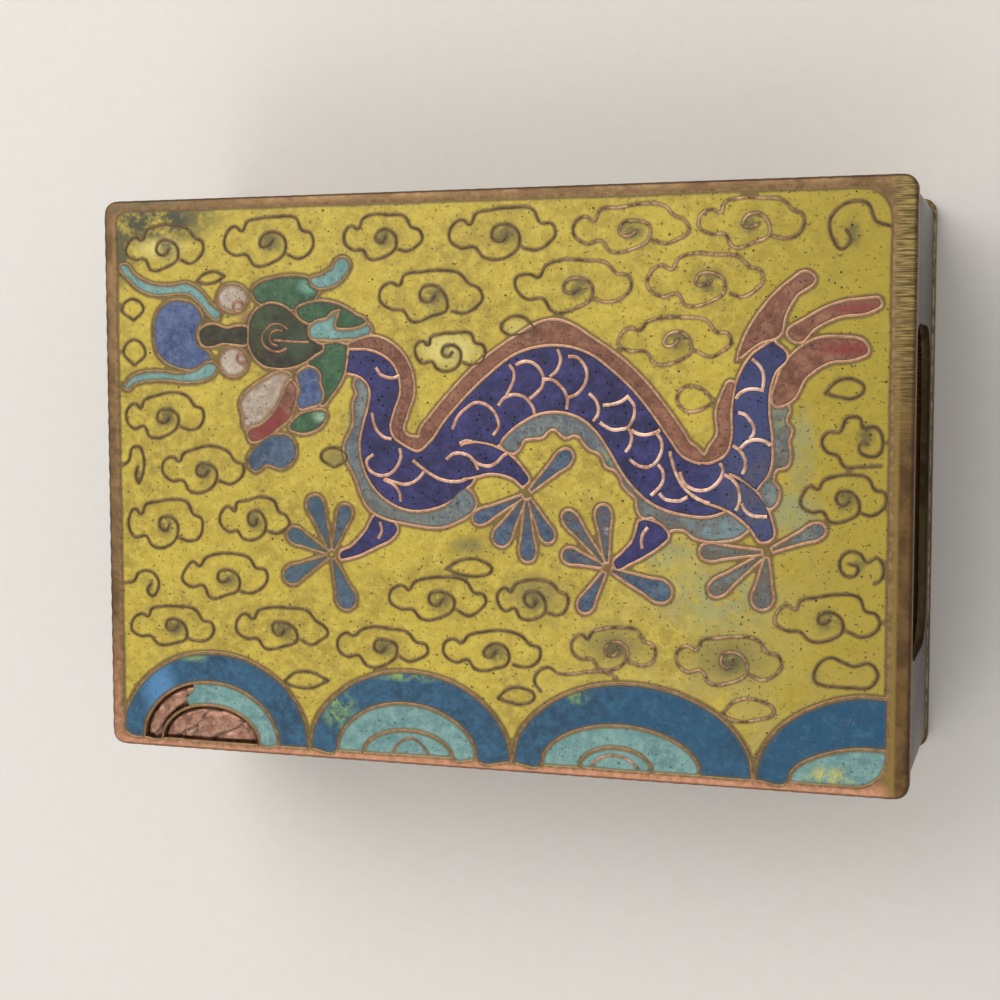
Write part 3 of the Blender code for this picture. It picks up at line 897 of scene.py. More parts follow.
def outer_height(node: bpy.types.Object, side: Side) -> float:
    """Height of the outermost face of a node on one side of the cover, in metres."""
    return max(side.value * vert.co.z for vert in node.data.vertices) * side.value


def face_level(plate: str, side: Side) -> float:
    """Height of a plate's enamelled face.

    Args:
        plate: CAD node of the plate.
        side: Which face it is.

    Returns:
        The height in millimetres.
    """
    low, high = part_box(plate)
    return (high.z if side is Side.FACE else low.z) / MM


@dataclass
class Net:
    """A flat triangulation in millimetres.

    Attributes:
        points: Its points.
        triangles: Its triangles, anticlockwise.
        within: For each triangle, the numbers of the outlines that it lies in.
        source: For each point, the numbers of the given points that it stands for.
    """

    points: list[Point]
    triangles: list[Triangle]
    within: list[set[int]]
    source: list[list[int]]

    def part(self, kept: Sequence[Triangle]) -> "Net":
        """The net of some of its triangles, with no other points.

        Args:
            kept: The triangles.

        Returns:
            The smaller net.
        """
        used = sorted({index for triangle in kept for index in triangle})
        new = {index: number for number, index in enumerate(used)}
        triangles = [(new[a], new[b], new[c]) for a, b, c in kept]
        return Net([self.points[index] for index in used], triangles, [], [])


def net_of(loops: Sequence[Line], loose: Sequence[Point] = ()) -> Net:
    """Triangulate closed outlines with loose points between them.

    Args:
        loops: Closed outlines.
        loose: Other points that the net passes through.

    Returns:
        The net of all that lies in an outline.
    """
    points, faces = [], []
    for loop in loops:
        faces.append(list(range(len(points), len(points) + len(loop))))
        points += [Vector(point) for point in loop]
    points += [Vector(point) for point in loose]
    found, _, triangles, source, _, within = delaunay_2d_cdt(points, [], faces, 1, MERGE)
    return Net(
        [(point.x, point.y) for point in found],
        [tuple(triangle) for triangle in triangles],
        [set(numbers) for numbers in within],
        source,
    )


class Scatter:
    """Points of a net, none of the added ones nearer to another than a gap."""

    CELL = 0.3

    def __init__(self) -> None:
        """Start with no points."""
        self.bins: dict[tuple[int, int], list[Point]] = {}
        self.added: list[Point] = []

    def mark(self, points: Sequence[Point]) -> None:
        """Keep clear of some points that the net has already."""
        for x, y in points:
            self.bins.setdefault((math.floor(x / self.CELL), math.floor(y / self.CELL)), []).append((x, y))

    def add(self, x: float, y: float, gap: float) -> bool:
        """Add a point if there is room.

        Args:
            x, y: The point.
            gap: Least distance to any other, below the size of a bin.

        Returns:
            Whether it was added.
        """
        column, row = math.floor(x / self.CELL), math.floor(y / self.CELL)
        for near_column in (column - 1, column, column + 1):
            for near_row in (row - 1, row, row + 1):
                for other_x, other_y in self.bins.get((near_column, near_row), ()):
                    if (other_x - x) ** 2 + (other_y - y) ** 2 < gap * gap:
                        return False
        self.bins.setdefault((column, row), []).append((x, y))
        self.added.append((x, y))
        return True


def tree_of(points: Sequence[Point]) -> KDTree:
    """Search tree of flat points.

    Args:
        points: The points.

    Returns:
        The tree, which knows them by their numbers.
    """
    tree = KDTree(len(points))
    for index, (x, y) in enumerate(points):
        tree.insert((x, y, 0.0), index)
    tree.balance()
    return tree


def beside(line: Line, closed: bool, gap: float, both: bool = True) -> Line:
    """Points beside a line at some distance.

    Args:
        line: Points of the line.
        closed: Whether it runs back to its start.
        gap: Distance from the line.
        both: Whether both sides are taken, or only its left.

    Returns:
        The points.
    """
    made = []
    count = len(line)
    for i, (x, y) in enumerate(line):
        before = line[i - 1] if closed or i else line[0]
        after = line[(i + 1) % count] if closed or i < count - 1 else line[-1]
        along_x, along_y = after[0] - before[0], after[1] - before[1]
        reach = math.hypot(along_x, along_y)
        if reach < 1e-9:
            continue
        off_x, off_y = -along_y / reach * gap, along_x / reach * gap
        made.append((x + off_x, y + off_y))
        if both:
            made.append((x - off_x, y - off_y))
    return made


def corners_of(points: Sequence[Point]) -> tuple[Point, Point]:
    """Lowest and highest corner of some points."""
    across, up = [x for x, _ in points], [y for _, y in points]
    return (min(across), min(up)), (max(across), max(up))


def hex_grid(low: Point, high: Point, gap: float, draw: random.Random) -> Line:
    """Points in staggered rows, each a little off its place.

    Args:
        low, high: Corners of the field.
        gap: Distance between neighbours.
        draw: Random numbers.

    Returns:
        The points.
    """
    made = []
    row_gap = gap * 0.866
    for row in range(math.ceil((high[1] - low[1]) / row_gap) + 1):
        shift = 0.5 * gap if row % 2 else 0.0
        for column in range(math.ceil((high[0] - low[0]) / gap) + 1):
            x = low[0] + column * gap + shift + draw.uniform(-0.12, 0.12) * gap
            y = low[1] + row * row_gap + draw.uniform(-0.12, 0.12) * gap
            made.append((x, y))
    return made


def boundary_of(triangles: Sequence[Triangle]) -> list[tuple[int, int]]:
    """Directed edges that only one triangle has."""
    edges = {(t[i], t[(i + 1) % 3]) for t in triangles for i in range(3)}
    return [(a, b) for a, b in sorted(edges) if (b, a) not in edges]


def chained(edges: Sequence[tuple[int, int]]) -> list[list[int]]:
    """Closed loops of points from directed edges.

    Args:
        edges: Pairs of the points' numbers.

    Returns:
        The numbers of each loop, as it runs.
    """
    following: dict[int, list[int]] = {}
    for a, b in edges:
        following.setdefault(a, []).append(b)
    loops = []
    while following:
        start = min(following)
        loop, at = [], start
        while at in following:
            loop.append(at)
            onward = following[at].pop()
            if not following[at]:
                del following[at]
            at = onward
            if at == start:
                break
        loops.append(loop)
    return loops


@dataclass
class MeshDraft:
    """Points and faces of a piece while it is put together, in millimetres.

    Attributes:
        side: Which way its outer face looks.
        points: Places of its points.
        faces: Its faces, for a piece that looks up.
        marks: Values of its attributes for each point, by their names.
    """

    side: Side
    points: list[Place] = field(default_factory=list)
    faces: list[tuple[int, ...]] = field(default_factory=list)
    marks: dict[str, list[float]] = field(default_factory=dict)

    def point(self, x: float, y: float, z: float, **marks: float) -> int:
        """Add a point.

        Args:
            x, y, z: Its place.
            marks: Its attributes, each one that the piece has; those not given are 0 there.

        Returns:
            Its number.
        """
        self.points.append((x, y, z))
        for name, values in self.marks.items():
            values.append(marks.get(name, 0.0))
        return len(self.points) - 1

    def finish(self, name: str, material: bpy.types.Material, smooth_angle: float = 50.0) -> bpy.types.Object:
        """Make the object.

        Args:
            name: Name of the piece.
            material: Its material.
            smooth_angle: Edges sharper than this many degrees stay sharp.

        Returns:
            The object, which rides on the one body.
        """
        data = bpy.data.meshes.new(name)
        turned = self.faces if self.side is Side.FACE else [face[::-1] for face in self.faces]
        data.from_pydata([(x * MM, y * MM, z * MM) for x, y, z in self.points], [], turned)
        for mark, values in self.marks.items():
            data.attributes.new(mark, "FLOAT", "POINT").data.foreach_set("value", values)
        data.materials.append(material)
        made = bpy.data.objects.new(name, data)
        bpy.context.scene.collection.objects.link(made)
        make_active(made)
        bpy.ops.object.shade_smooth_by_angle(angle=math.radians(smooth_angle))
        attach(made, ROOT)
        return made


@dataclass(frozen=True)
class Patch:
    """A round patch of another tint in some glass.

    Attributes:
        mark: Attribute that it sets.
        middle: Its middle in millimetres.
        halves: Half its width and height.
        strength: Value at its middle.
        owner: Start of the names of the glass that has it.
    """

    mark: str
    middle: Point
    halves: Point
    strength: float
    owner: str

    def at(self, x: float, y: float) -> float:
        """Strength at a point, soft towards the edge."""
        off = math.hypot((x - self.middle[0]) / self.halves[0], (y - self.middle[1]) / self.halves[1])
        return self.strength * min(1.0, max(0.0, 1.6 * (1.0 - off)))


# Patches by the attribute that they set and the start of the names of the glass that has them, each with
# its middle, half its width, half its height, and its strength
PATCH_ROWS: dict[tuple[str, str], tuple[tuple[float, ...], ...]] = {
    # The white spot on a toe of the third paw, through the steel glass's bleed colour: a chip, and a painted
    # glint
    ("stain", "paw_3"): ((9.15, -3.1, 0.55, 0.3, 1.0),),
    ("pale", "paw_1"): ((-12.0, -5.0, 4.0, 5.0, 0.6),),
    ("rust", "ground"): (
        (-17.3, 11.3, 1.3, 0.9, 0.9), (-17.5, 9.4, 1.4, 0.8, 0.9), (-20.9, 11.6, 1.0, 0.8, 0.7),
        (-20.8, 8.4, 0.8, 0.7, 0.6), (-12.6, 11.9, 1.4, 0.7, 0.8), (-12.8, 8.9, 1.2, 0.7, 0.6),
    ),
    ("green", "ground"): (
        (21.3, -1.6, 2.4, 2.2, 0.75), (21.9, 2.6, 1.1, 3.4, 0.6), (13.0, -4.4, 3.0, 1.6, 0.6),
        (16.4, -7.2, 5.4, 3.0, 0.6), (-9.4, 3.4, 0.8, 2.0, 0.5),
    ),
    ("pale", "hem_belly"): ((16.6, -2.8, 2.8, 1.3, 1.0), (10.0, 0.6, 1.2, 1.6, 0.7),),
    ("stain", "hem_belly"): ((9.0, 1.6, 0.9, 0.8, 0.8),),
    ("stain", "hem_tail"): ((20.6, 5.0, 0.8, 1.8, 0.7),),
    ("soot", "ground"): ((-25.0, 18.5, 6.6, 2.0, 1.0), (-27.6, 16.8, 1.6, 3.4, 0.9),),
    ("soot", "paw_3"): ((7.2, -2.6, 3.4, 3.2, 0.85),),
    ("soot", "paw_4"): ((18.2, -5.2, 6.5, 5.0, 0.85),),
    ("soot", "hem_belly"): ((14.5, -2.6, 6.5, 2.4, 0.6),),
    ("soot", "hem_tail"): ((20.5, 2.0, 2.5, 6.5, 0.6),),
    ("soot", "body"): ((19.2, -0.5, 3.0, 4.0, 0.45),),
    ("soot", "hem_chest"): ((-7.0, -2.0, 4.5, 4.5, 0.4),),
    ("soot", "wave_crest_4"): ((25.0, -17.0, 9.0, 8.0, 1.0),),
    ("soot", "wave_crest_3"): ((13.0, -16.0, 9.0, 5.0, 0.8),),
    ("pale", "ground"): (
        (-2.3, 9.1, 2.6, 1.4, 0.9), (-24.5, 16.6, 2.6, 1.0, 0.7), (2.7, 10.5, 1.2, 0.7, 0.5),
    ),
    ("stain", "ground"): (
        (-0.9, -4.4, 1.7, 0.8, 0.8), (-10.9, 1.6, 1.2, 0.9, 0.8), (3.9, -7.4, 2.8, 1.6, 0.6),
        (9.4, -10.8, 3.0, 1.7, 0.75), (17.2, -11.3, 4.0, 2.2, 0.65),
    ),
    ("pale", "body"): ((19.0, 2.0, 4.5, 9.0, 0.75), (18.5, -2.5, 4.0, 3.5, 0.9),),
    ("stain", "wave_crest"): (
        (-5.6, -13.6, 3.6, 0.6, 0.9), (-10.6, -16.5, 1.6, 1.8, 0.8), (6.9, -14.4, 1.0, 0.7, 0.9),
        (-22.5, -13.2, 2.0, 0.4, 0.6),
    ),
    ("stain", "wave_hollow"): ((23.9, -18.9, 1.8, 1.0, 1.0),),
    ("pale", "wave_crest"): ((-25.0, -15.8, 1.8, 2.6, 0.7),),
    ("pale", "tail_flame"): ((25.0, 9.0, 2.6, 0.5, 0.8), (25.2, 11.6, 2.6, 0.45, 0.7),),
    ("stain", "mane_leaf"): ((-11.8, 4.5, 0.9, 0.6, 0.9),),
    ("pale", "mane_upper"): ((-12.6, 13.6, 1.2, 0.7, 0.8),),
    ("pale", "crown"): ((-13.6, 9.6, 1.4, 1.6, 0.6),),
    ("stain", "crown"): ((-16.2, 11.2, 2.4, 1.8, 0.8),),
    ("pale", "tongue"): ((-16.0, 3.9, 2.4, 2.2, 0.9),),
    ("stain", "jaw"): ((-14.6, 5.9, 0.9, 1.6, 0.5),),
    ("stain", "eye_upper"): ((-18.0, 11.9, 0.9, 0.8, 0.8),),
}
PATCHES = tuple(
    Patch(mark, row[:2], row[2:4], row[4], owner)
    for (mark, owner), rows in PATCH_ROWS.items()
    for row in rows
)


@dataclass
class GlassField:
    """One colour field of glass in its cell, closed all round.

    Attributes:
        node: CAD node that it stands for, and that it is named for.
        side: Face of the cover that it lies in.
        level: Height of that face in millimetres.
        outers: Outlines that hold its glass.
        holes: Outlines in those that hold none.
        joined: Other CAD nodes that its glass runs on into.
        wires: Wires that lie in it.
        grain: Distance between its points in the open, in millimetres.
        pits: How many pinholes it has.
    """

    node: str
    side: Side
    level: float
    outers: list[Line]
    holes: list[Line] = field(default_factory=list)
    joined: tuple[str, ...] = ()
    wires: list[Line] = field(default_factory=list)
    grain: float = GLASS_GRAIN
    pits: int = 0

    MARKS = ("seam", "pit", "stain", "pale", "soot", "rust", "green")
    ROWS = (0.11, 0.26)
    ROW_GAP = 0.12
    WIRE_GAP = 0.07
    PIT_RADII = (0.035, 0.11)
    PIT_DEPTH = 0.09
    PIT_CLEARANCE = 0.08
    TRIES_A_PIT = 12
    # The ground is pitted the more the further it is past the first of these, all over past the second
    PITTED = (-16.0, 8.0)
    LEAST_PITTED = 0.25
    # How far the glass sinks from its wires, and its ripple with its scale
    DIP_REACH = 0.3
    RIPPLE = 0.010
    RIPPLE_SCALE = 0.8
    RIPPLE_REACH = 0.2

    def build(self, draw: random.Random) -> bpy.types.Object:
        """Make the piece.

        Args:
            draw: Random numbers for its pinholes.

        Returns:
            The piece.
        """
        enamel = longest_match(ENAMEL_OF, self.node, YELLOW)
        loops = self.outers + self.holes
        wire_points = [point for wire in self.wires for point in wire]
        seam_tree = tree_of([point for loop in loops for point in loop] + wire_points)
        scatter = Scatter()
        for loop in loops:
            scatter.mark(loop)
        holes = self.pinholes(draw, seam_tree, scatter)
        for wire in self.wires:
            for x, y in wire:
                scatter.add(x, y, self.WIRE_GAP)
        lines = [(loop, True) for loop in loops] + [(wire, False) for wire in self.wires]
        for gap in self.ROWS:
            for line, closed in lines:
                for x, y in beside(line, closed, gap):
                    if seam_tree.find((x, y, 0.0))[2] > NEARLY * gap:
                        scatter.add(x, y, self.ROW_GAP)
        low, high = corners_of([point for loop in self.outers for point in loop])
        for x, y in hex_grid(low, high, self.grain, draw):
            scatter.add(x, y, NEARLY * self.grain)
        net = net_of(loops, scatter.added)
        net = net.part([t for t, inside in zip(net.triangles, net.within) if self.holds(inside)])
        seam_tree = tree_of(along_edges(net.points, boundary_of(net.triangles)) + wire_points)
        draft = self.surface(net, seam_tree, holes)
        self.close(draft, net)
        made = draft.finish(f"{self.node}_glass", enamel.material())
        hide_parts(self.node, *self.joined)
        return made

    def holds(self, inside: set[int], first: int = 0) -> bool:
        """Whether a triangle is glass.

        Args:
            inside: Numbers of the outlines that it lies in.
            first: Number of this field's first outline.

        Returns:
            True for one in an outer outline and in no hole.
        """
        holes = first + len(self.outers)
        end = holes + len(self.holes)
        return any(first <= n < holes for n in inside) and not any(holes <= n < end for n in inside)

    def pinholes(
        self, draw: random.Random, seam_tree: KDTree, scatter: Scatter
    ) -> list[Place]:
        """Pinholes left by bubbles, clear of the wires.

        Args:
            draw: Random numbers.
            seam_tree: Points of the wires.
            scatter: Points of the net, which get the pinholes' rings.

        Returns:
            Middle and radius of each.
        """
        low, high = corners_of([point for loop in self.outers for point in loop])
        made = []
        for _ in range(self.pits * self.TRIES_A_PIT):
            if len(made) == self.pits:
                break
            x, y = draw.uniform(low[0], high[0]), draw.uniform(low[1], high[1])
            radius = self.PIT_RADII[0] + (self.PIT_RADII[1] - self.PIT_RADII[0]) * draw.random() ** 2
            drawn = draw.random()
            share = min(1.0, max(0.0, (x - self.PITTED[0]) / (self.PITTED[1] - self.PITTED[0])))
            if self.node == "ground" and drawn > self.LEAST_PITTED + (1.0 - self.LEAST_PITTED) * share:
                continue
            if seam_tree.find((x, y, 0.0))[2] < radius + self.PIT_CLEARANCE:
                continue
            if not scatter.add(x, y, 2.2 * radius):
                continue
            made.append((x, y, radius))
            for share, count in ((0.6, 6), (1.0, 8)):
                for i in range(count):
                    angle = 2 * math.pi * (i + 0.5 * share) / count
                    ring_x = x + share * radius * math.cos(angle)
                    ring_y = y + share * radius * math.sin(angle)
                    scatter.add(ring_x, ring_y, 0.3 * radius)
        return made

    def surface(self, net: Net, seam_tree: KDTree, holes: list[Place]) -> MeshDraft:
        """The polished top of the glass.

        Args:
            net: Net of the field.
            seam_tree: Points of the wires.
            holes: Its pinholes.

        Returns:
            A draft with one point for each of the net's points.
        """
        draft = MeshDraft(self.side, marks={name: [] for name in self.MARKS})
        hole_tree = tree_of([(x, y) for x, y, _ in holes]) if holes else None
        spots = [*PATCHES, *(cloud.dirt() for cloud in CLOUDS)]
        patches = [p for p in spots if self.side is Side.FACE and self.node.startswith(p.owner)]
        for x, y in net.points:
            seam = seam_tree.find((x, y, 0.0))[2]
            depth = RIDGE_FOOT + (GLASS_DIP - RIDGE_FOOT) * min(1.0, seam / self.DIP_REACH)
            ripple = noise.noise(Vector((x * self.RIPPLE_SCALE, y * self.RIPPLE_SCALE, 1.3)))
            depth += self.RIPPLE * ripple * min(1.0, seam / self.RIPPLE_REACH)
            pit = 0.0
            if hole_tree:
                _, index, reach = hole_tree.find((x, y, 0.0))
                share = reach / holes[index][2]
                if share < 0.98:
                    pit = 1.0 - share * share
            marks = {"seam": seam, "pit": pit}
            for patch in patches:
                marks[patch.mark] = max(marks.get(patch.mark, 0.0), patch.at(x, y))
            draft.point(x, y, self.level - self.side.value * (depth + self.PIT_DEPTH * pit), **marks)
        draft.faces += net.triangles
        return draft

    def close(self, draft: MeshDraft, net: Net) -> None:
        """Sides and back of the glass.

        Args:
            draft: Draft that holds the top.
            net: Net of the field.
        """
        edges = boundary_of(net.triangles)
        back = {}
        for index in sorted({a for a, _ in edges} | {b for _, b in edges}):
            x, y = net.points[index]
            back[index] = draft.point(x, y, self.level - self.side.value * GLASS_FLOOR)
        for a, b in edges:
            draft.faces.append((back[a], back[b], b, a))
        rings = chained(edges)
        outlines = [[net.points[index] for index in ring] for ring in rings]
        rings = [ring if anticlockwise(line) is line else ring[::-1] for ring, line in zip(rings, outlines)]
        flat = net_of([anticlockwise(line) for line in outlines])
        order = [index for ring in rings for index in ring]
        for triangle, inside in zip(flat.triangles, flat.within):
            if len(inside) == 1:
                corners = [back[order[flat.source[corner][0]]] for corner in triangle]
                draft.faces.append(tuple(corners[::-1]))


@dataclass
class Plate:
    """A copper plate: bare rim, ridges between the colours, and the cells under the glass.

    Attributes:
        node: CAD node that it stands for.
        side: Face of the cover that it is.
        fields: Pieces of glass in it.
        bare: Outlines of the places where its floor shows.
        level: Height of its face in millimetres.
        thick: Its thickness.
    """

    node: str
    side: Side
    fields: list[GlassField]
    bare: list[Line] = field(default_factory=list)
    level: float = field(init=False, default=0.0)
    thick: float = field(init=False, default=0.0)

    EDGE_ROWS = (0.0, 0.03, 0.08, 0.15, 0.24)
    CORNER_RADIUS = 0.9
    CORNER_STEPS = 8
    # Distance of the rows beside a cell's edge, with the room that each point there needs
    RIDGE_ROWS = ((0.045, 0.04), (RIDGE_HALF, 0.06))
    RIM_BREADTH = 2.2
    RIM_GRAIN = 0.28
    BARE_GRAIN = 0.16
    BACK_BEVEL = 0.12
    UNEVEN = 0.012
    SMOOTH_ANGLE = 60.0

    def build(self, draw: random.Random) -> bpy.types.Object:
        """Make the piece.

        Args:
            draw: Random numbers for its grid.

        Returns:
            The piece.
        """
        low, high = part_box(self.node)
        self.level = face_level(self.node, self.side)
        self.thick = (high.z - low.z) / MM
        outline = self.outer_line(low, high)
        labelled = [(p, f.node) for f in self.fields for loop in f.outers for p in loop]
        label_tree = tree_of([p for p, _ in labelled])
        edge_tree = tree_of(flowing(outline, True, 0.08))
        net = self.net(outline, draw)
        kinds = self.kinds(net)
        metal = [t for t, kind in zip(net.triangles, kinds) if kind == "metal"]
        ring = {index for edge in boundary_of(net.triangles) for index in edge}
        inner = [edge for edge in boundary_of(metal) if not ring.issuperset(edge)]
        seam_tree = tree_of(along_edges(net.points, inner))
        draft = MeshDraft(self.side, marks={"rim": [], "bright": [], "edge": [], "bare": [], "crease": []})
        tops, floors = {}, {}
        for triangle, kind in zip(net.triangles, kinds):
            layer = tops if kind == "metal" else floors
            for index in triangle:
                if index not in layer:
                    x, y = net.points[index]
                    label = labelled[label_tree.find((x, y, 0.0))[1]][1]
                    layer[index] = self.place(draft, x, y, kind, seam_tree, edge_tree, label)
            draft.faces.append(tuple(layer[index] for index in triangle))
        for a, b in inner:
            draft.faces.append((floors[a], floors[b], tops[b], tops[a]))
        self.close(draft, net, tops)
        made = draft.finish(f"{self.node}_copper", WornCopper().material(), self.SMOOTH_ANGLE)
        WornCopper().slot
        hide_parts(self.node)
        return made

    def outer_line(self, low: Vector, high: Vector) -> Line:
        """Outline of the plate, its corners rounded.

        Args:
            low, high: Corners of its box in metres.

        Returns:
            Points in millimetres, anticlockwise.
        """
        radius = self.CORNER_RADIUS
        made = []
        corners = ((high.x, high.y, 0.0), (low.x, high.y, 0.5), (low.x, low.y, 1.0), (high.x, low.y, 1.5))
        for x, y, start in corners:
            middle_x = x / MM - math.copysign(radius, x)
            middle_y = y / MM - math.copysign(radius, y)
            for step in range(self.CORNER_STEPS + 1):
                angle = (start + 0.5 * step / self.CORNER_STEPS) * math.pi
                made.append((middle_x + radius * math.cos(angle), middle_y + radius * math.sin(angle)))
        return made

    def net(self, outline: Line, draw: random.Random) -> Net:
        """Net of the whole face.

        Args:
            outline: Outline of the plate.
            draw: Random numbers.

        Returns:
            The net, whose first outline is the plate's.
        """
        edge = flowing(outline, True, 0.3)
        cells = [loop for f in self.fields for loop in f.outers + f.holes]
        loops = [edge, *cells, *self.bare]
        seam_tree = tree_of([point for loop in cells for point in loop])
        scatter = Scatter()
        for loop in loops:
            scatter.mark(loop)
        for gap in self.EDGE_ROWS[1:]:
            for x, y in beside(edge, True, gap, both=False):
                scatter.add(x, y, 0.045)
        for gap, room in self.RIDGE_ROWS:
            for loop in cells:
                for x, y in beside(loop, True, gap):
                    if seam_tree.find((x, y, 0.0))[2] > 0.85 * gap:
                        scatter.add(x, y, room)
        for x, y in hex_grid(*corners_of(edge), self.RIM_GRAIN, draw):
            if seam_tree.find((x, y, 0.0))[2] > 0.2:
                scatter.add(x, y, NEARLY * self.RIM_GRAIN)
        for loop in self.bare:
            for x, y in hex_grid(*corners_of(loop), self.BARE_GRAIN, draw):
                scatter.add(x, y, 0.7 * self.BARE_GRAIN)
        return net_of(loops, scatter.added)

    def kinds(self, net: Net) -> list[str]:
        """What each triangle of the net is.

        Args:
            net: Net of the face.

        Returns:
            metal, cell or bare for each triangle.
        """
        starts = []
        first = 1
        for f in self.fields:
            starts.append((f, first))
            first += len(f.outers) + len(f.holes)
        bare = set(range(first, first + len(self.bare)))
        made = []
        for inside in net.within:
            if any(f.holds(inside, start) for f, start in starts):
                made.append("cell")
            else:
                made.append("bare" if inside & bare else "metal")
        return made

    def place(
        self, draft: MeshDraft, x: float, y: float, kind: str, seam_tree: KDTree, edge_tree: KDTree,
        label: str,
    ) -> int:
        """Put one point of the net at its height.

        Args:
            draft: Draft of the plate.
            x, y: The point.
            kind: metal, cell or bare.
            seam_tree: Points of the cells' outlines.
            edge_tree: Points of the plate's outline.
            label: Node of the nearest glass.

        Returns:
            Number of the new point.
        """
        seam = seam_tree.find((x, y, 0.0))[2]
        edge = edge_tree.find((x, y, 0.0))[2]
        if kind == "metal":
            share = min(1.0, seam / RIDGE_HALF)
            depth = RIDGE_FOOT * (1.0 - share) ** 2
            depth += self.UNEVEN * (0.5 + 0.5 * noise.noise(Vector((x * 0.5, y * 0.5, 5.1))))
            if edge < EDGE_ROUND:
                depth += EDGE_ROUND - math.sqrt(max(0.0, EDGE_ROUND**2 - (EDGE_ROUND - edge) ** 2))
            rim = 0.0 if edge > self.RIM_BREADTH else min(1.0, max(0.0, (seam - 0.14) / 0.1))
            bright = longest_match(BRIGHT_WIRES, label, 0.3)
            return draft.point(
                x, y, self.level - self.side.value * depth, rim=rim, bright=bright, edge=edge, bare=0.0
            )
        depth = CELL_FLOOR
        crease = 0.0
        if kind == "bare":
            rise = min(1.0, seam / 0.25)
            wave = math.sin(2.6 * (0.8 * x - y) + 2.0 * noise.noise(Vector((x * 0.5, y * 0.5, 2.0))))
            crease = max(0.0, wave) ** 3
            depth -= rise * (0.44 - 0.12 * crease + 0.10 * noise.noise(Vector((x * 1.4, y * 1.4, 8.0))))
        return draft.point(x, y, self.level - self.side.value * depth, edge=9.0, bare=1.0, crease=crease)

    def close(self, draft: MeshDraft, net: Net, tops: dict[int, int]) -> None:
        """The plate's rim wall and its back.

        Args:
            draft: Draft that holds the face.
            net: Net of the face.
            tops: Numbers of the net's points that are metal.
        """
        ring = chained(boundary_of(net.triangles))[0]
        rows = [[tops[index] for index in ring]]
        bevel = self.BACK_BEVEL
        for depth, inset in ((0.62 * self.thick, 0.0), (self.thick - bevel, 0.0), (self.thick, bevel)):
            row = []
            for index in ring:
                x, y = net.points[index]
                x -= math.copysign(min(inset, abs(x)), x)
                y -= math.copysign(min(inset, abs(y)), y)
                row.append(draft.point(x, y, self.level - self.side.value * depth, rim=1.0, edge=0.25))
            rows.append(row)
        for upper, lower in zip(rows, rows[1:]):
            for i in range(len(ring)):
                after = (i + 1) % len(ring)
                draft.faces.append((lower[i], lower[after], upper[after], upper[i]))
        draft.faces.append(tuple(rows[-1][::-1]))


class Form(Enum):
    """Shapes that the cloud wires are bent to, each in a box one wide and one high, from one end on."""

    CLOUD = (
        (0.55, 0.45), (0.50, 0.34), (0.42, 0.41), (0.43, 0.57), (0.55, 0.64), (0.66, 0.49), (0.66, 0.22),
        (0.54, 0.03), (0.33, 0.00), (0.25, 0.22), (0.12, 0.20), (0.01, 0.40), (0.03, 0.62), (0.13, 0.77),
        (0.20, 0.68), (0.26, 0.87), (0.41, 0.97), (0.58, 1.00), (0.80, 0.91), (0.87, 0.70), (0.97, 0.62),
        (1.00, 0.43), (0.93, 0.23), (0.82, 0.12), (0.71, 0.19),
    )
    HOOK = (
        (0.74, 0.50), (0.66, 0.52), (0.64, 0.38), (0.74, 0.27), (0.88, 0.32), (0.95, 0.52), (0.86, 0.78),
        (0.68, 0.80), (0.62, 0.97), (0.42, 0.98), (0.32, 0.76), (0.13, 0.74), (0.01, 0.52), (0.10, 0.32),
        (0.30, 0.28), (0.40, 0.06), (0.66, 0.00), (0.92, 0.10),
    )
    RING = ((0.5, 0.0), (0.0, 0.5), (0.5, 1.0), (1.0, 0.5), (0.55, 0.0))
    DROP = ((0.0, 0.35), (0.35, 0.95), (0.75, 1.0), (1.0, 0.5), (0.75, 0.05), (0.4, 0.1), (0.0, 0.35))
    LEAF = ((0.0, 0.3), (0.25, 0.85), (0.6, 1.0), (1.0, 0.5), (0.65, 0.05), (0.3, 0.05), (0.0, 0.3))
    CURL = (
        (0.30, 0.55), (0.45, 0.45), (0.35, 0.20), (0.10, 0.25), (0.02, 0.60), (0.20, 0.95), (0.50, 0.90),
        (0.62, 0.70), (0.85, 0.80), (1.00, 0.50), (0.90, 0.10), (0.80, 0.02),
    )
    BEAN = (
        (0.25, 0.10), (0.05, 0.30), (0.05, 0.75), (0.25, 1.00), (0.50, 0.90), (0.65, 0.78), (0.90, 0.90),
        (1.00, 0.55), (0.90, 0.15), (0.60, 0.02), (0.30, 0.10),
    )
    HALF = (
        (0.30, 0.50), (0.38, 0.30), (0.25, 0.08), (0.08, 0.30), (0.05, 0.70), (0.30, 1.00), (0.62, 0.95),
        (0.78, 0.62), (1.00, 0.55),
    )


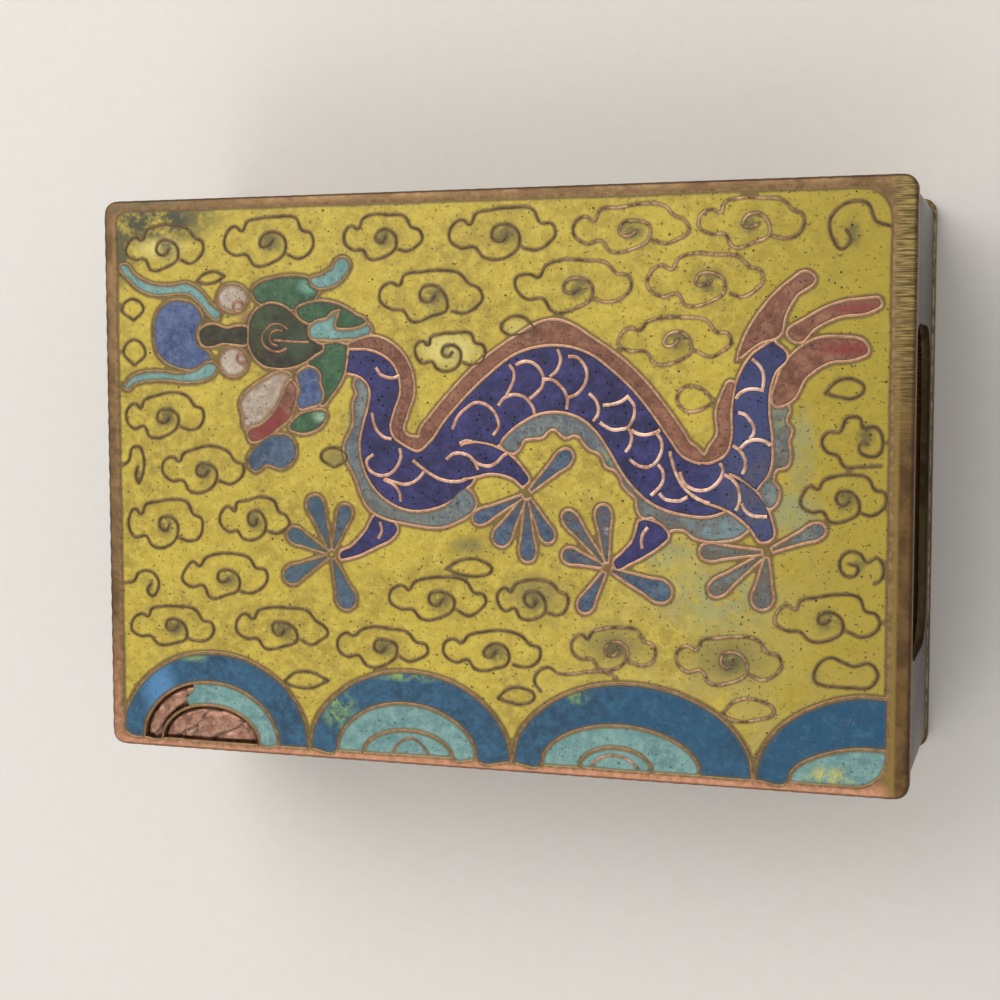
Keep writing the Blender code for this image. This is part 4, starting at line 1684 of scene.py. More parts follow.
@dataclass(frozen=True)
class Cloud:
    """One bent cloud wire in the yellow ground.

    Attributes:
        middle: Its middle in millimetres.
        size: Its width and height.
        form: What it is bent to.
        mirrored: Whether it runs the other way round.
    """

    middle: Point
    size: Point
    form: Form = Form.CLOUD
    mirrored: bool = False

    SLACK: ClassVar[float] = 0.22
    DIRTY: ClassVar[tuple[Form, ...]] = (Form.CLOUD, Form.HOOK, Form.CURL, Form.HALF)

    def line(self) -> Line:
        """Course of the wire.

        Returns:
            Its points in millimetres.
        """
        made = []
        for across, up in self.form.value:
            share = 1.0 - across if self.mirrored else across
            x = self.middle[0] + (share - 0.5) * self.size[0]
            y = self.middle[1] + (up - 0.5) * self.size[1]
            off = noise.noise_vector(Vector((x * 0.9, y * 0.9, 6.0))) * self.SLACK
            made.append((x + off.x, y + off.y))
        return made

    def dirt(self) -> Patch:
        """Dirt left in the heart of its spiral.

        Returns:
            The dirt as a patch of the ground.
        """
        across, up = self.form.value[1]
        share = 1.0 - across if self.mirrored else across
        x = self.middle[0] + (share - 0.47) * self.size[0]
        y = self.middle[1] + (up - 0.38) * self.size[1]
        strength = 0.75 if self.form in self.DIRTY else 0.2
        return Patch("soot", (x, y), (0.17 * self.size[0], 0.33 * self.size[1]), strength, "ground")


CLOUDS = (
    Cloud((-24.1, 16.6), (6.3, 3.1)),
    Cloud((-15.8, 16.9), (7.0, 3.4)),
    Cloud((-7.2, 17.0), (5.8, 3.0)),
    Cloud((1.5, 17.0), (7.6, 3.3)),
    Cloud((10.4, 17.1), (7.9, 3.1)),
    Cloud((18.5, 17.3), (7.0, 3.1)),
    Cloud((25.3, 16.6), (4.0, 3.3), Form.HALF),
    Cloud((-3.7, 12.9), (7.7, 3.3)),
    Cloud((6.5, 13.4), (8.2, 3.4)),
    Cloud((15.5, 13.65), (7.6, 3.3)),
    Cloud((-26.7, 12.2), (1.8, 1.5), Form.RING),
    Cloud((-26.7, 9.05), (1.8, 1.8), Form.RING),
    Cloud((-20.4, 14.35), (2.2, 0.9), Form.LEAF),
    Cloud((-2.3, 9.05), (5.2, 2.6)),
    Cloud((2.7, 10.65), (2.4, 1.2), Form.DROP, True),
    Cloud((13.4, 9.7), (7.7, 3.0)),
    Cloud((14.9, 5.8), (2.6, 1.6), Form.DROP, True),
    Cloud((24.5, 6.5), (2.4, 1.3), Form.DROP),
    Cloud((-24.3, 4.5), (6.6, 3.0)),
    Cloud((25.1, 3.0), (4.3, 3.3), Form.HOOK),
    Cloud((-21.2, 0.6), (6.7, 3.0)),
    Cloud((-26.8, 0.7), (1.6, 3.0), Form.HALF, True),
    Cloud((-10.9, 1.6), (1.9, 1.5), Form.RING),
    Cloud((24.6, -0.6), (5.4, 3.0)),
    Cloud((-24.4, -3.4), (6.3, 3.5)),
    Cloud((-17.2, -2.9), (5.4, 3.0)),
    Cloud((-0.9, -5.9), (3.4, 1.1), Form.DROP),
    Cloud((25.8, -4.9), (2.8, 2.1), Form.CURL),
    Cloud((-19.6, -7.1), (6.8, 3.2)),
    Cloud((-26.2, -8.0), (2.8, 1.9), Form.HALF, True),
    Cloud((-3.2, -8.1), (7.2, 3.0)),
    Cloud((3.7, -7.9), (5.0, 2.8)),
    Cloud((23.6, -8.4), (6.8, 3.0)),
    Cloud((-23.9, -10.95), (6.8, 2.9)),
    Cloud((-15.2, -10.7), (7.4, 3.0)),
    Cloud((-7.4, -11.7), (6.8, 2.6)),
    Cloud((0.8, -11.6), (7.2, 2.8)),
    Cloud((9.4, -11.0), (5.8, 2.8)),
    Cloud((17.2, -11.4), (7.2, 3.2)),
    Cloud((18.5, -14.8), (3.5, 1.6), Form.LEAF),
    Cloud((24.8, -12.0), (4.2, 2.0), Form.BEAN),
    Cloud((-13.3, -14.4), (3.4, 1.4), Form.LEAF),
    Cloud((2.6, -14.6), (2.6, 1.1), Form.LEAF),
)

# Rows of clouds on the underside: height, first middle and how many
UNDER_ROWS = ((-15.0, -22.0, 5), (-8.8, -16.5, 4), (-2.6, -22.0, 5), (3.6, -16.5, 4))
UNDER_CLOUDS = tuple(
    Cloud((start + 11.0 * number, y), (7.2, 3.2)) for y, start, count in UNDER_ROWS for number in range(count)
)

BODY_WIRES: tuple[Line, ...] = (
    # Neck and shoulder
    [(-7.65, 7.8), (-7.35, 7.4), (-6.9, 7.2), (-6.4, 7.15), (-6.05, 7.3)],
    [(-8.0, 4.65), (-7.85, 3.95), (-7.5, 3.35), (-7.0, 3.0), (-6.65, 2.95)],
    [
        (-8.0, 1.75), (-8.45, 1.35), (-8.35, 0.9), (-7.9, 0.5), (-7.2, 0.35), (-6.6, 0.55), (-6.1, 1.1),
        (-5.88, 1.8), (-5.95, 2.2),
    ],
    [(-4.25, 0.6), (-4.6, 0.2), (-5.1, -0.1), (-5.7, -0.2), (-6.4, -0.05), (-6.9, 0.1)],
    [(-7.05, 0.05), (-6.4, -0.25), (-6.0, -0.7), (-5.9, -1.3)],
    # Foreleg
    [(-1.45, 2.7), (-1.1, 2.85), (-0.75, 2.82)],
    [(-2.4, 1.65), (-2.0, 1.95), (-1.4, 2.0), (-0.8, 1.8), (-0.4, 1.35), (-0.25, 1.0)],
    [(-0.6, 1.6), (0.0, 1.25), (0.7, 1.2), (1.2, 1.45), (1.6, 1.85), (1.85, 2.0)],
    [(-4.9, 1.4), (-4.5, 1.1), (-3.8, 0.6), (-3.0, 0.2), (-2.2, 0.05), (-1.4, 0.12), (-1.1, 0.25)],
    # Scales over the arch
    [
        (-2.0, 3.75), (-1.6, 4.6), (-1.0, 5.15), (-0.4, 5.5), (0.2, 5.45), (0.8, 5.05), (1.2, 4.4),
        (1.3, 3.9), (0.95, 3.35),
    ],
    [(2.1, 8.0), (2.35, 7.6), (2.35, 7.1), (2.15, 6.6), (1.9, 6.1)],
    [
        (2.6, 8.1), (2.9, 8.25), (3.4, 8.3), (3.9, 8.1), (4.25, 7.7), (4.45, 7.2), (4.35, 6.6), (4.0, 6.2),
        (3.6, 5.85),
    ],
    [(5.5, 9.0), (5.65, 8.6), (5.6, 8.1), (5.35, 7.65), (5.0, 7.35)],
    [
        (6.3, 8.6), (6.8, 8.55), (7.2, 8.2), (7.5, 7.6), (7.5, 7.1), (7.2, 6.5), (6.8, 6.1), (6.3, 5.9),
    ],
    [(4.5, 7.1), (5.1, 7.05), (5.6, 6.7), (6.0, 6.2), (6.15, 5.7), (6.1, 5.2)],
    [(1.35, 5.4), (1.6, 5.75), (2.1, 6.0), (2.6, 6.05), (3.1, 5.9), (3.55, 5.5), (3.8, 5.1), (3.85, 4.85)],
    [(7.75, 6.05), (8.1, 5.7), (8.3, 5.2), (8.25, 4.7), (8.0, 4.35)],
    # Scales down the far side of the arch
    [(8.75, 5.35), (9.3, 5.4), (9.9, 5.6), (10.3, 5.9)],
    [
        (10.45, 5.75), (10.75, 5.35), (10.8, 4.8), (10.65, 4.3), (10.3, 3.85), (9.9, 3.75), (9.3, 3.7),
        (8.8, 3.9), (8.5, 4.1),
    ],
    [(10.45, 3.7), (10.6, 3.3), (10.5, 2.7), (10.25, 2.35)],
    [(10.7, 3.65), (11.1, 3.45), (11.6, 3.4), (12.1, 3.5), (12.45, 3.65)],
    [
        (12.4, 3.4), (12.65, 3.0), (12.7, 2.5), (12.55, 2.0), (12.2, 1.5), (11.7, 1.25), (11.2, 1.3),
        (10.8, 1.5), (10.55, 1.7),
    ],
    [(12.5, 1.35), (12.75, 1.0), (12.8, 0.5), (12.6, 0.0), (12.3, -0.3), (12.05, -0.55)],
    [(12.6, -0.55), (12.9, -0.85), (13.4, -0.95), (13.9, -0.95), (14.3, -0.75)],
    # Thigh and the rise to the tail
    [(13.25, 2.2), (13.4, 1.5), (13.7, 0.7), (14.1, 0.0), (14.6, -0.5), (15.3, -0.92), (15.75, -1.05)],
    [
        (13.95, 0.85), (14.1, 0.35), (14.5, -0.05), (15.1, -0.25), (15.8, -0.15), (16.3, 0.2), (16.7, 0.8),
        (16.75, 1.2), (16.6, 1.5),
    ],
    [(16.95, 0.8), (17.4, 0.55), (17.75, 0.1), (17.9, -0.5), (17.85, -1.1), (17.7, -1.4)],
    [(17.5, 2.7), (17.9, 2.4), (18.2, 1.9), (18.25, 1.4), (18.1, 1.0)],
    [(17.85, 4.9), (18.2, 4.8), (18.55, 4.4), (18.8, 3.9), (18.75, 3.5), (18.6, 3.3)],
    [(18.0, 2.65), (18.3, 2.95), (18.9, 3.15), (19.5, 3.05), (19.8, 2.85)],
    [(18.1, -1.1), (18.3, -1.5), (18.8, -1.8), (19.3, -1.85), (19.6, -1.85)],
    [(18.7, 8.3), (19.0, 8.05), (19.3, 7.6), (19.4, 7.0), (19.35, 6.6)],
    [(17.65, 5.9), (17.8, 6.1), (18.3, 6.4), (18.9, 6.45), (19.3, 6.38)],
)
# Finer outlines, which run on under the pieces that they are trimmed by
REDRAWN: dict[str, Line] = {
    "hem_belly": [
        (1.9, 2.2), (2.4, 2.1), (2.8, 2.45), (3.1, 3.0), (3.8, 3.15), (4.4, 3.25), (4.8, 3.65), (5.2, 3.8),
        (5.6, 3.55), (6.0, 3.2), (6.6, 3.35), (7.0, 3.25), (7.3, 2.85), (7.7, 2.45), (8.4, 2.15),
        (8.7, 1.75), (8.85, 1.35), (9.5, 1.05), (9.85, 0.6), (10.1, 0.0), (10.5, -0.4), (11.0, -0.85),
        (11.1, -1.6), (11.4, -2.05), (12.1, -2.05), (12.5, -2.45), (12.85, -2.9), (13.6, -2.8),
        (14.2, -2.85), (14.9, -3.35), (15.8, -3.55), (16.8, -3.5), (17.7, -3.3), (18.5, -2.6),
        (18.0, -1.2), (16.5, -0.3), (14.0, 0.2), (12.2, 1.2), (10.0, 4.4), (7.0, 6.2), (3.6, 6.0),
        (1.4, 4.6), (1.3, 3.0),
    ],
    "hem_tail": [
        (19.6, 7.2), (20.5, 7.2), (20.95, 6.5), (20.85, 5.8), (21.05, 5.1), (20.85, 4.4), (21.2, 3.75),
        (21.0, 3.1), (21.1, 2.3), (20.95, 1.5), (20.2, 1.2), (20.0, 0.5), (20.1, -0.3), (19.7, -1.1),
        (18.9, -1.0), (18.6, 0.5), (18.8, 3.5), (19.2, 6.0),
    ],
    "hind_leg_far": [
        (11.2, -2.4), (12.0, -2.35), (12.75, -2.75), (13.1, -3.3), (12.6, -3.9), (11.6, -4.6),
        (10.5, -5.2), (9.6, -5.55), (9.45, -5.3), (10.0, -4.6), (10.7, -3.8), (11.0, -3.0),
    ],
    "foreleg_near": [
        (-7.6, -2.4), (-6.7, -2.7), (-6.2, -3.4), (-6.6, -4.0), (-7.7, -4.6), (-9.1, -5.25), (-10.4, -5.6),
        (-10.5, -5.3), (-9.6, -4.7), (-8.6, -3.7),
    ],
    "nose": [
        (-24.5, 12.15), (-23.9, 12.6), (-22.6, 12.7), (-21.6, 12.25), (-21.15, 11.35), (-21.55, 10.7),
        (-21.65, 10.1), (-21.45, 9.5), (-20.9, 9.1), (-20.5, 8.65), (-20.7, 8.1), (-21.65, 7.8),
        (-22.9, 7.9), (-24.2, 8.45), (-24.8, 9.1), (-25.0, 10.1), (-24.9, 11.4),
    ],
    "nose_bridge": [
        (-21.3, 10.5), (-20.9, 10.85), (-20.2, 10.95), (-19.2, 10.65), (-18.4, 10.8), (-17.5, 10.65),
        (-17.3, 10.1), (-17.6, 9.65), (-18.7, 9.6), (-19.6, 9.65), (-20.3, 9.45), (-21.1, 9.55),
        (-21.3, 10.0),
    ],
    "crown": [
        (-17.4, 10.3), (-17.3, 11.25), (-16.65, 12.1), (-15.7, 12.4), (-14.7, 12.15), (-13.95, 11.6),
        (-13.4, 11.1), (-12.6, 10.7), (-12.4, 9.7), (-11.75, 9.3), (-12.4, 8.8), (-13.7, 8.1),
        (-15.2, 7.9), (-16.3, 8.1), (-17.0, 8.7), (-17.4, 9.5),
    ],
    "mane_upper": [
        (-17.1, 13.4), (-16.6, 13.85), (-15.5, 14.15), (-14.1, 14.3), (-12.7, 14.1), (-11.9, 13.55),
        (-12.2, 12.9), (-13.1, 12.3), (-14.2, 12.0), (-15.8, 12.3), (-16.9, 12.7),
    ],
    "horn_tip": [
        (-12.6, 14.05), (-11.8, 14.35), (-11.0, 14.8), (-10.55, 15.4), (-10.0, 15.5), (-9.65, 15.1),
        (-9.95, 14.4), (-10.7, 13.75), (-11.6, 13.5), (-12.3, 13.6),
    ],
    "ear": [
        (-13.7, 11.85), (-12.8, 12.4), (-11.3, 12.5), (-10.2, 12.15), (-9.25, 11.55), (-8.45, 11.0),
        (-9.2, 10.4), (-11.0, 10.6), (-12.8, 11.1), (-13.4, 11.4),
    ],
    "horn": [
        (-12.7, 10.75), (-12.2, 11.1), (-11.4, 11.3), (-10.85, 11.75), (-10.5, 11.85), (-10.75, 11.3),
        (-10.85, 10.75), (-9.8, 10.5), (-8.9, 10.6), (-8.2, 10.8), (-8.05, 10.4), (-8.6, 10.05),
        (-10.0, 9.9), (-11.8, 9.9), (-12.6, 10.05),
    ],
    "mane_lower": [
        (-11.8, 9.4), (-10.1, 9.5), (-9.7, 9.3), (-9.95, 8.4), (-10.25, 7.2), (-11.1, 5.95), (-11.9, 5.3),
        (-12.0, 5.9), (-12.2, 7.0), (-12.8, 8.2),
    ],
    "cheek_tuft": [
        (-13.6, 7.5), (-13.1, 7.85), (-12.4, 7.8), (-12.0, 7.35), (-12.0, 6.8), (-11.75, 6.05),
        (-12.0, 5.4), (-12.75, 5.15), (-13.5, 5.05), (-13.7, 5.5), (-13.45, 6.25),
    ],
    "mane_leaf": [
        (-14.3, 3.65), (-13.8, 4.35), (-12.8, 4.8), (-11.5, 4.6), (-11.75, 4.0), (-12.6, 3.45),
        (-13.7, 3.35),
    ],
    "jaw": [
        (-18.1, 5.6), (-17.4, 6.35), (-16.3, 7.0), (-14.9, 7.55), (-14.25, 7.35), (-14.2, 6.7),
        (-14.8, 5.9), (-15.5, 5.0), (-16.3, 4.0), (-17.2, 3.5), (-17.7, 3.5), (-17.95, 4.4),
    ],
    "tongue": [
        (-17.55, 3.25), (-16.5, 3.8), (-15.5, 4.75), (-14.8, 5.85), (-14.1, 6.9), (-13.8, 6.4),
        (-13.9, 5.5), (-14.3, 4.4), (-15.2, 3.65), (-16.3, 2.9), (-17.4, 2.7),
    ],
    "whisker_upper": [
        (-27.65, 15.3), (-27.3, 15.35), (-26.65, 14.7), (-25.35, 14.0), (-23.7, 13.8), (-22.2, 13.9),
        (-21.3, 13.4), (-20.5, 12.5), (-19.7, 11.6), (-20.0, 11.35), (-20.6, 11.75), (-21.3, 12.5),
        (-22.2, 13.2), (-23.3, 13.25), (-24.8, 13.2), (-26.1, 13.6), (-27.0, 14.3),
    ],
    "whisker_lower": [
        (-27.6, 6.55), (-26.8, 7.3), (-25.7, 7.6), (-24.4, 7.6), (-22.9, 7.45), (-21.65, 7.7),
        (-20.55, 8.2), (-20.05, 8.0), (-20.2, 7.5), (-21.1, 7.05), (-22.4, 6.9), (-23.9, 7.05),
        (-25.35, 7.05), (-26.65, 6.8), (-27.4, 6.4),
    ],
}
TRIMMED = {
    "hem_belly": ("body", "hind_leg_far"),
    "hem_tail": ("body", "tail_flame_lower", "hem_belly"),
    "foreleg_near": ("hem_chest",),
    "horn": ("fin", "body"),
    "ear": ("horn",),
    "crown": ("horn", "ear"),
    "mane_upper": ("crown", "ear", "horn_tip"),
    "nose_bridge": ("crown",),
    "whisker_upper": ("nose_bridge",),
    "whisker_lower": ("nose_bridge",),
    "nose": ("nose_bridge", "whisker_upper", "whisker_lower"),
    "eye_upper": ("crown", "nose_bridge", "whisker_upper", "mane_upper"),
    "eye_lower": ("crown", "nose_bridge", "whisker_lower"),
    "jaw": ("tongue", "eye_lower", "crown"),
    "cheek_tuft": ("tongue", "jaw", "crown"),
    "mane_lower": ("crown", "horn", "cheek_tuft", "body", "fin", "hem_chest"),
    "mane_leaf": ("tongue", "cheek_tuft", "mane_lower"),
}
# What the first wave has lost of its turquoise
LOST: dict[str, tuple[Line, ...]] = {
    "wave_hollow_1": (
        [
            (-27.2, -19.45), (-23.4, -19.45), (-22.9, -18.9), (-23.3, -17.8), (-22.5, -17.0),
            (-22.9, -16.3), (-22.2, -15.6), (-22.5, -14.2), (-27.2, -14.2),
        ],
    ),
}
# Where the legs run on into the body without a wire
BODY_BRIDGES: tuple[Line, ...] = (
    [(-1.3, 0.05), (-1.3, 0.8), (-1.5, 2.0), (-1.5, 2.9), (-2.9, 2.9), (-2.9, 0.05)],
    [(15.3, -0.9), (16.2, -0.98), (16.3, 0.2), (17.1, 0.4), (17.1, 1.35), (15.3, 1.5)],
)
CROWN_WIRES: tuple[Line, ...] = (
    [
        (-14.4, 10.6), (-15.0, 10.95), (-15.55, 10.98), (-16.1, 10.6), (-16.4, 10.1), (-16.3, 9.6),
        (-15.75, 9.15), (-15.1, 9.05), (-14.5, 9.3),
    ],
    [(-14.8, 10.45), (-15.3, 10.55), (-15.75, 10.25), (-15.7, 9.65), (-15.2, 9.45)],
    [(-15.5, 9.85), (-14.4, 9.78), (-13.4, 9.72), (-12.75, 9.72)],
)
PUPIL_WIRES: dict[str, tuple[Line, ...]] = {
    "eye_upper": (
        [
            (-18.0, 12.6), (-18.45, 12.6), (-18.65, 12.25), (-18.45, 11.95), (-18.05, 11.9), (-17.85, 12.2),
            (-18.0, 12.55),
        ],
    ),
    "eye_lower": (
        [
            (-17.75, 8.85), (-18.15, 8.9), (-18.4, 8.6), (-18.2, 8.3), (-17.85, 8.25), (-17.65, 8.5),
            (-17.75, 8.8),
        ],
    ),
}
WAVE_WIRES: dict[str, tuple[Line, ...]] = {
    "wave_heart_2": (
        [(-6.6, -19.15), (-6.1, -18.5), (-5.2, -18.15), (-4.5, -18.5), (-3.9, -19.15)],
    ),
    "wave_heart_3": (
        [(7.9, -19.15), (8.5, -18.6), (9.6, -18.35), (10.7, -18.7), (11.2, -19.15)],
    ),
}
GROUND_WIRES: tuple[Line, ...] = (
    [
        (4.3, -14.2), (3.85, -13.6), (4.2, -12.8), (4.9, -12.55), (5.5, -12.9), (6.5, -12.95),
        (7.6, -12.75), (8.8, -12.7), (9.6, -13.0),
    ],
)
LEG_WIRES: dict[str, tuple[Line, ...]] = {
    "hind_leg_far": ([(11.75, -2.75), (11.4, -3.2), (11.3, -3.8), (11.35, -4.2)],),
    "foreleg_near": ([(-7.5, -2.9), (-7.35, -3.5), (-7.6, -4.1)],),
}

# Paws: middle, then each toe's tip and the radius of its bulb
PAWS: dict[str, tuple[Point, tuple[tuple[Point, float], ...]]] = {
    "paw_1": (
        (-11.15, -5.3),
        (((-10.0, -1.8), 0.5), ((-12.6, -1.2), 0.6), ((-14.5, -3.8), 0.55),
         ((-14.8, -7.2), 0.6), ((-9.8, -9.1), 0.7)),
    ),
    "paw_2": (
        (3.3, -0.75),
        (((6.4, 2.2), 0.5), ((-0.5, -2.6), 0.45), ((1.2, -4.2), 0.6),
         ((3.4, -5.3), 0.5), ((5.0, -3.9), 0.45)),
    ),
    "paw_3": (
        (8.95, -5.6),
        (((8.65, -1.4), 0.5), ((6.0, -1.9), 0.45), ((5.85, -4.7), 0.5),
         ((7.2, -8.6), 0.5), ((13.3, -7.3), 0.7)),
    ),
    "paw_4": (
        (19.75, -4.2),
        (((23.4, -2.5), 0.45), ((15.3, -4.3), 0.5), ((16.0, -7.0), 0.5),
         ((19.4, -7.9), 0.65)),
    ),
}


def toe_outline(hub: Point, tip: Point, bulb: float) -> Line:
    """A toe that swells from a thin root to a round bulb.

    Args:
        hub: Middle of the paw.
        tip: Tip of the toe.
        bulb: Radius of its bulb.

    Returns:
        Its closed outline.
    """
    start, end = Vector(hub), Vector(tip)
    out = (end - start).normalized()
    right = Vector((out.y, -out.x))
    reach = (end - start).length
    steps = ((0.42, 0.08), (0.35 * reach, 0.42 * bulb), (0.62 * reach, 0.72 * bulb), (reach - bulb, bulb))
    side = [start + out * far + right * half for far, half in steps]
    other = [start + out * far - right * half for far, half in steps]
    bulb_middle = end - out * bulb
    round_tip = [
        bulb_middle + (out * math.sin(angle) + right * math.cos(angle)) * bulb
        for angle in (math.pi / 4, math.pi / 2, 3 * math.pi / 4)
    ]
    return [(point.x, point.y) for point in side + round_tip + other[::-1]]


def tubes(
    name: str, paths: list[list[tuple[float, float, float, float]]], radius: float, closed: bool
) -> bpy.types.Object:
    """Round wires along some paths, in one piece.

    Args:
        name: Name of the piece.
        paths: For each wire the places and the breadths of its points.
        radius: Radius at a breadth of one, in millimetres.
        closed: Whether the paths run back to their starts.

    Returns:
        The piece, without a material, riding on the one body.
    """
    curve = bpy.data.curves.new(name, "CURVE")
    curve.dimensions = "3D"
    curve.bevel_depth = radius * MM
    curve.bevel_resolution = 2
    curve.use_fill_caps = not closed
    for path in paths:
        spline = curve.splines.new("POLY")
        spline.points.add(len(path) - 1)
        spline.use_cyclic_u = closed
        for point, (x, y, z, breadth) in zip(spline.points, path):
            point.co = (x * MM, y * MM, z * MM, 1.0)
            point.radius = breadth
            point.tilt = FLAT_TURN
    made = bpy.data.objects.new(name, curve)
    bpy.context.scene.collection.objects.link(made)
    make_active(made)
    bpy.ops.object.convert(target="MESH")
    made = bpy.context.view_layer.objects.active
    made.data.materials.clear()
    bpy.ops.object.mode_set(mode="EDIT")
    bpy.ops.mesh.select_all(action="SELECT")
    bpy.ops.mesh.normals_make_consistent(inside=False)
    bpy.ops.object.mode_set(mode="OBJECT")
    bpy.ops.object.shade_smooth_by_angle(angle=math.radians(60))
    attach(made, ROOT)
    return made


@dataclass
class WireWork:
    """Wires that lie in one colour of glass, all of one kind.

    Attributes:
        name: Name of the piece.
        metal: Its finish.
        side: Face of the cover that it lies in.
        level: Height of that face in millimetres.
        lines: Its wires, each as it runs.
        radius: Half a wire's breadth.
    """

    name: str
    metal: WireMetal
    side: Side
    level: float
    lines: list[Line]
    radius: float = 0.14

    def build(self) -> bpy.types.Object:
        """Make the piece from bevelled curves.

        Returns:
            The piece.
        """
        paths = []
        for line in self.lines:
            path = []
            for x, y in line:
                breadth = 1.0 + 0.12 * noise.noise(Vector((x * 2.1, y * 2.1, 4.0)))
                worn = 0.003 + 0.008 * (1.0 + noise.noise(Vector((x * 1.3, y * 1.3, 9.0))))
                sunk = self.radius * breadth * math.cos(FLAT_TURN) + worn
                path.append((x, y, self.level - self.side.value * sunk, breadth))
            paths.append(path)
        made = tubes(self.name, paths, self.radius, False)
        made.data.materials.append(self.metal.material())
        return made


@dataclass
class SolderSeams:
    """Beads of solder along both long joints between the wall strip and the plates.

    Attributes:
        node: CAD node of the walls.
        radius: Half a bead's breadth in millimetres.
    """

    node: str = "walls"
    radius: float = 0.11

    STEP = 0.9
    SHARP = math.radians(40)
    UNEVEN = 0.35
    UNEVEN_SCALE = 0.9

    def build(self, frame: dict) -> bpy.types.Object:
        """Make the piece.


        Returns:
            The piece.
        """
        low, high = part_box(self.node)
        paths = []
        for height in (low.z, high.z):
            for loop in loops_at(frame["nodes"][self.node], height):
                path = []
                for x, y in flowing(loop, True, self.STEP, self.SHARP):
                    place = Vector((x * self.UNEVEN_SCALE, y * self.UNEVEN_SCALE, height / MM))
                    breadth = 1.0 + self.UNEVEN * noise.noise(place)
                    path.append((x, y, height / MM, breadth))
                paths.append(path)
        made = tubes("solder_seams", paths, self.radius, True)
        made.data.materials.append(Solder().material())
        Solder().slot
        return made


@dataclass
class Walls:
    """The bent brass strip, its edges rounded by filing.

    Attributes:
        node: CAD node that it stands for.
        edge: Radius of its edges in millimetres.
    """

    node: str = "walls"
    edge: float = 0.07

    def build(self, frame: dict) -> bpy.types.Object:
        """Make the piece from a copy of the solid.


        Returns:
            The piece.
        """
        source = frame["nodes"][self.node]
        made = bpy.data.objects.new("wall_strip", source.data.copy())
        bpy.context.scene.collection.objects.link(made)
        make_active(made)
        bpy.ops.object.mode_set(mode="EDIT")
        bpy.ops.mesh.select_all(action="SELECT")
        bpy.ops.mesh.remove_doubles(threshold=WELD)
        bpy.ops.mesh.dissolve_limited(angle_limit=math.radians(1.0))
        bpy.ops.mesh.normals_make_consistent(inside=False)
        bpy.ops.object.mode_set(mode="OBJECT")
        bevel = made.modifiers.new("filed_edges", "BEVEL")
        bevel.width = self.edge * MM
        bevel.segments = 3
        bevel.limit_method = "ANGLE"
        bevel.angle_limit = math.radians(40)
        bpy.ops.object.modifier_apply(modifier=bevel.name)
        made.data.materials.clear()
        made.data.materials.append(RubbedBrass().material())
        bpy.ops.object.shade_smooth_by_angle(angle=math.radians(35))
        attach(made, ROOT)
        RubbedBrass().slot
        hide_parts(self.node)
        return made


@dataclass
class Studio:
    """Floor, lights and the camera at the photograph's place.

    Attributes:
        lens: Focal length in millimetres for a sensor 36 wide.
        camera_place: Place of the camera in metres.
        camera_turn: Its turn in degrees.
        floor_size: Side of the floor in metres.
        room_colour, room_strength: Light that comes from all round.
    """

    lens: float = 61.94
    camera_place: Place = (0.0375, 0.00753, 0.1298)
    camera_turn: Place = (-4.250, 17.892, -0.065)
    floor_size: float = 1.6
    room_colour: tuple[float, ...] = (1.0, 0.985, 0.965, 1.0)
    room_strength: float = 0.60

    def build(self) -> None:
        """Make everything that isn't part of the object."""
        self.camera()
        self.floor()
        self.light("window_light", (-0.16, 0.22, 0.34), 0.34, power=1.03, colour=(1.0, 0.985, 0.96))
        self.light("fill_light", (-0.10, -0.26, 0.30), 0.30, power=0.35, colour=(1.0, 0.98, 0.96))
        world = bpy.data.worlds.new("pale_room")
        world.use_nodes = True
        background = world.node_tree.nodes["Background"]
        background.inputs["Color"].default_value = self.room_colour
        background.inputs["Strength"].default_value = self.room_strength
        bpy.context.scene.world = world
        bpy.context.scene.view_settings.view_transform = "Standard"

    def camera(self) -> None:
        """The camera."""
        data = bpy.data.cameras.new("camera")
        data.lens = self.lens
        data.sensor_width = 36.0
        data.clip_start = 0.005
        made = bpy.data.objects.new("camera", data)
        made.location = self.camera_place
        made.rotation_euler = [math.radians(angle) for angle in self.camera_turn]
        bpy.context.scene.collection.objects.link(made)
        bpy.context.scene.camera = made

    def floor(self) -> None:
        """A pale floor under the cover."""
        deselect_all()
        bpy.ops.mesh.primitive_plane_add(size=self.floor_size, location=(0.0, 0.0, 0.0))
        made = bpy.context.view_layer.objects.active
        made.name = "floor"
        made.data.materials.append(PaleTable().material())

    def light(self, name: str, place: Place, size: float, power: float, colour: Sequence[float]) -> None:
        """A soft light that looks at the cover.

        Args:
            name: Its name.
            place: Its place in metres.
            size: Side of its square.
            power: Power in watts.
            colour: Its colour.
        """
        data = bpy.data.lights.new(name, "AREA")
        data.size = size
        data.energy = power
        data.color = colour
        made = bpy.data.objects.new(name, data)
        made.location = place
        made.rotation_euler = (-Vector(place)).to_track_quat("-Z", "Y").to_euler()
        bpy.context.scene.collection.objects.link(made)


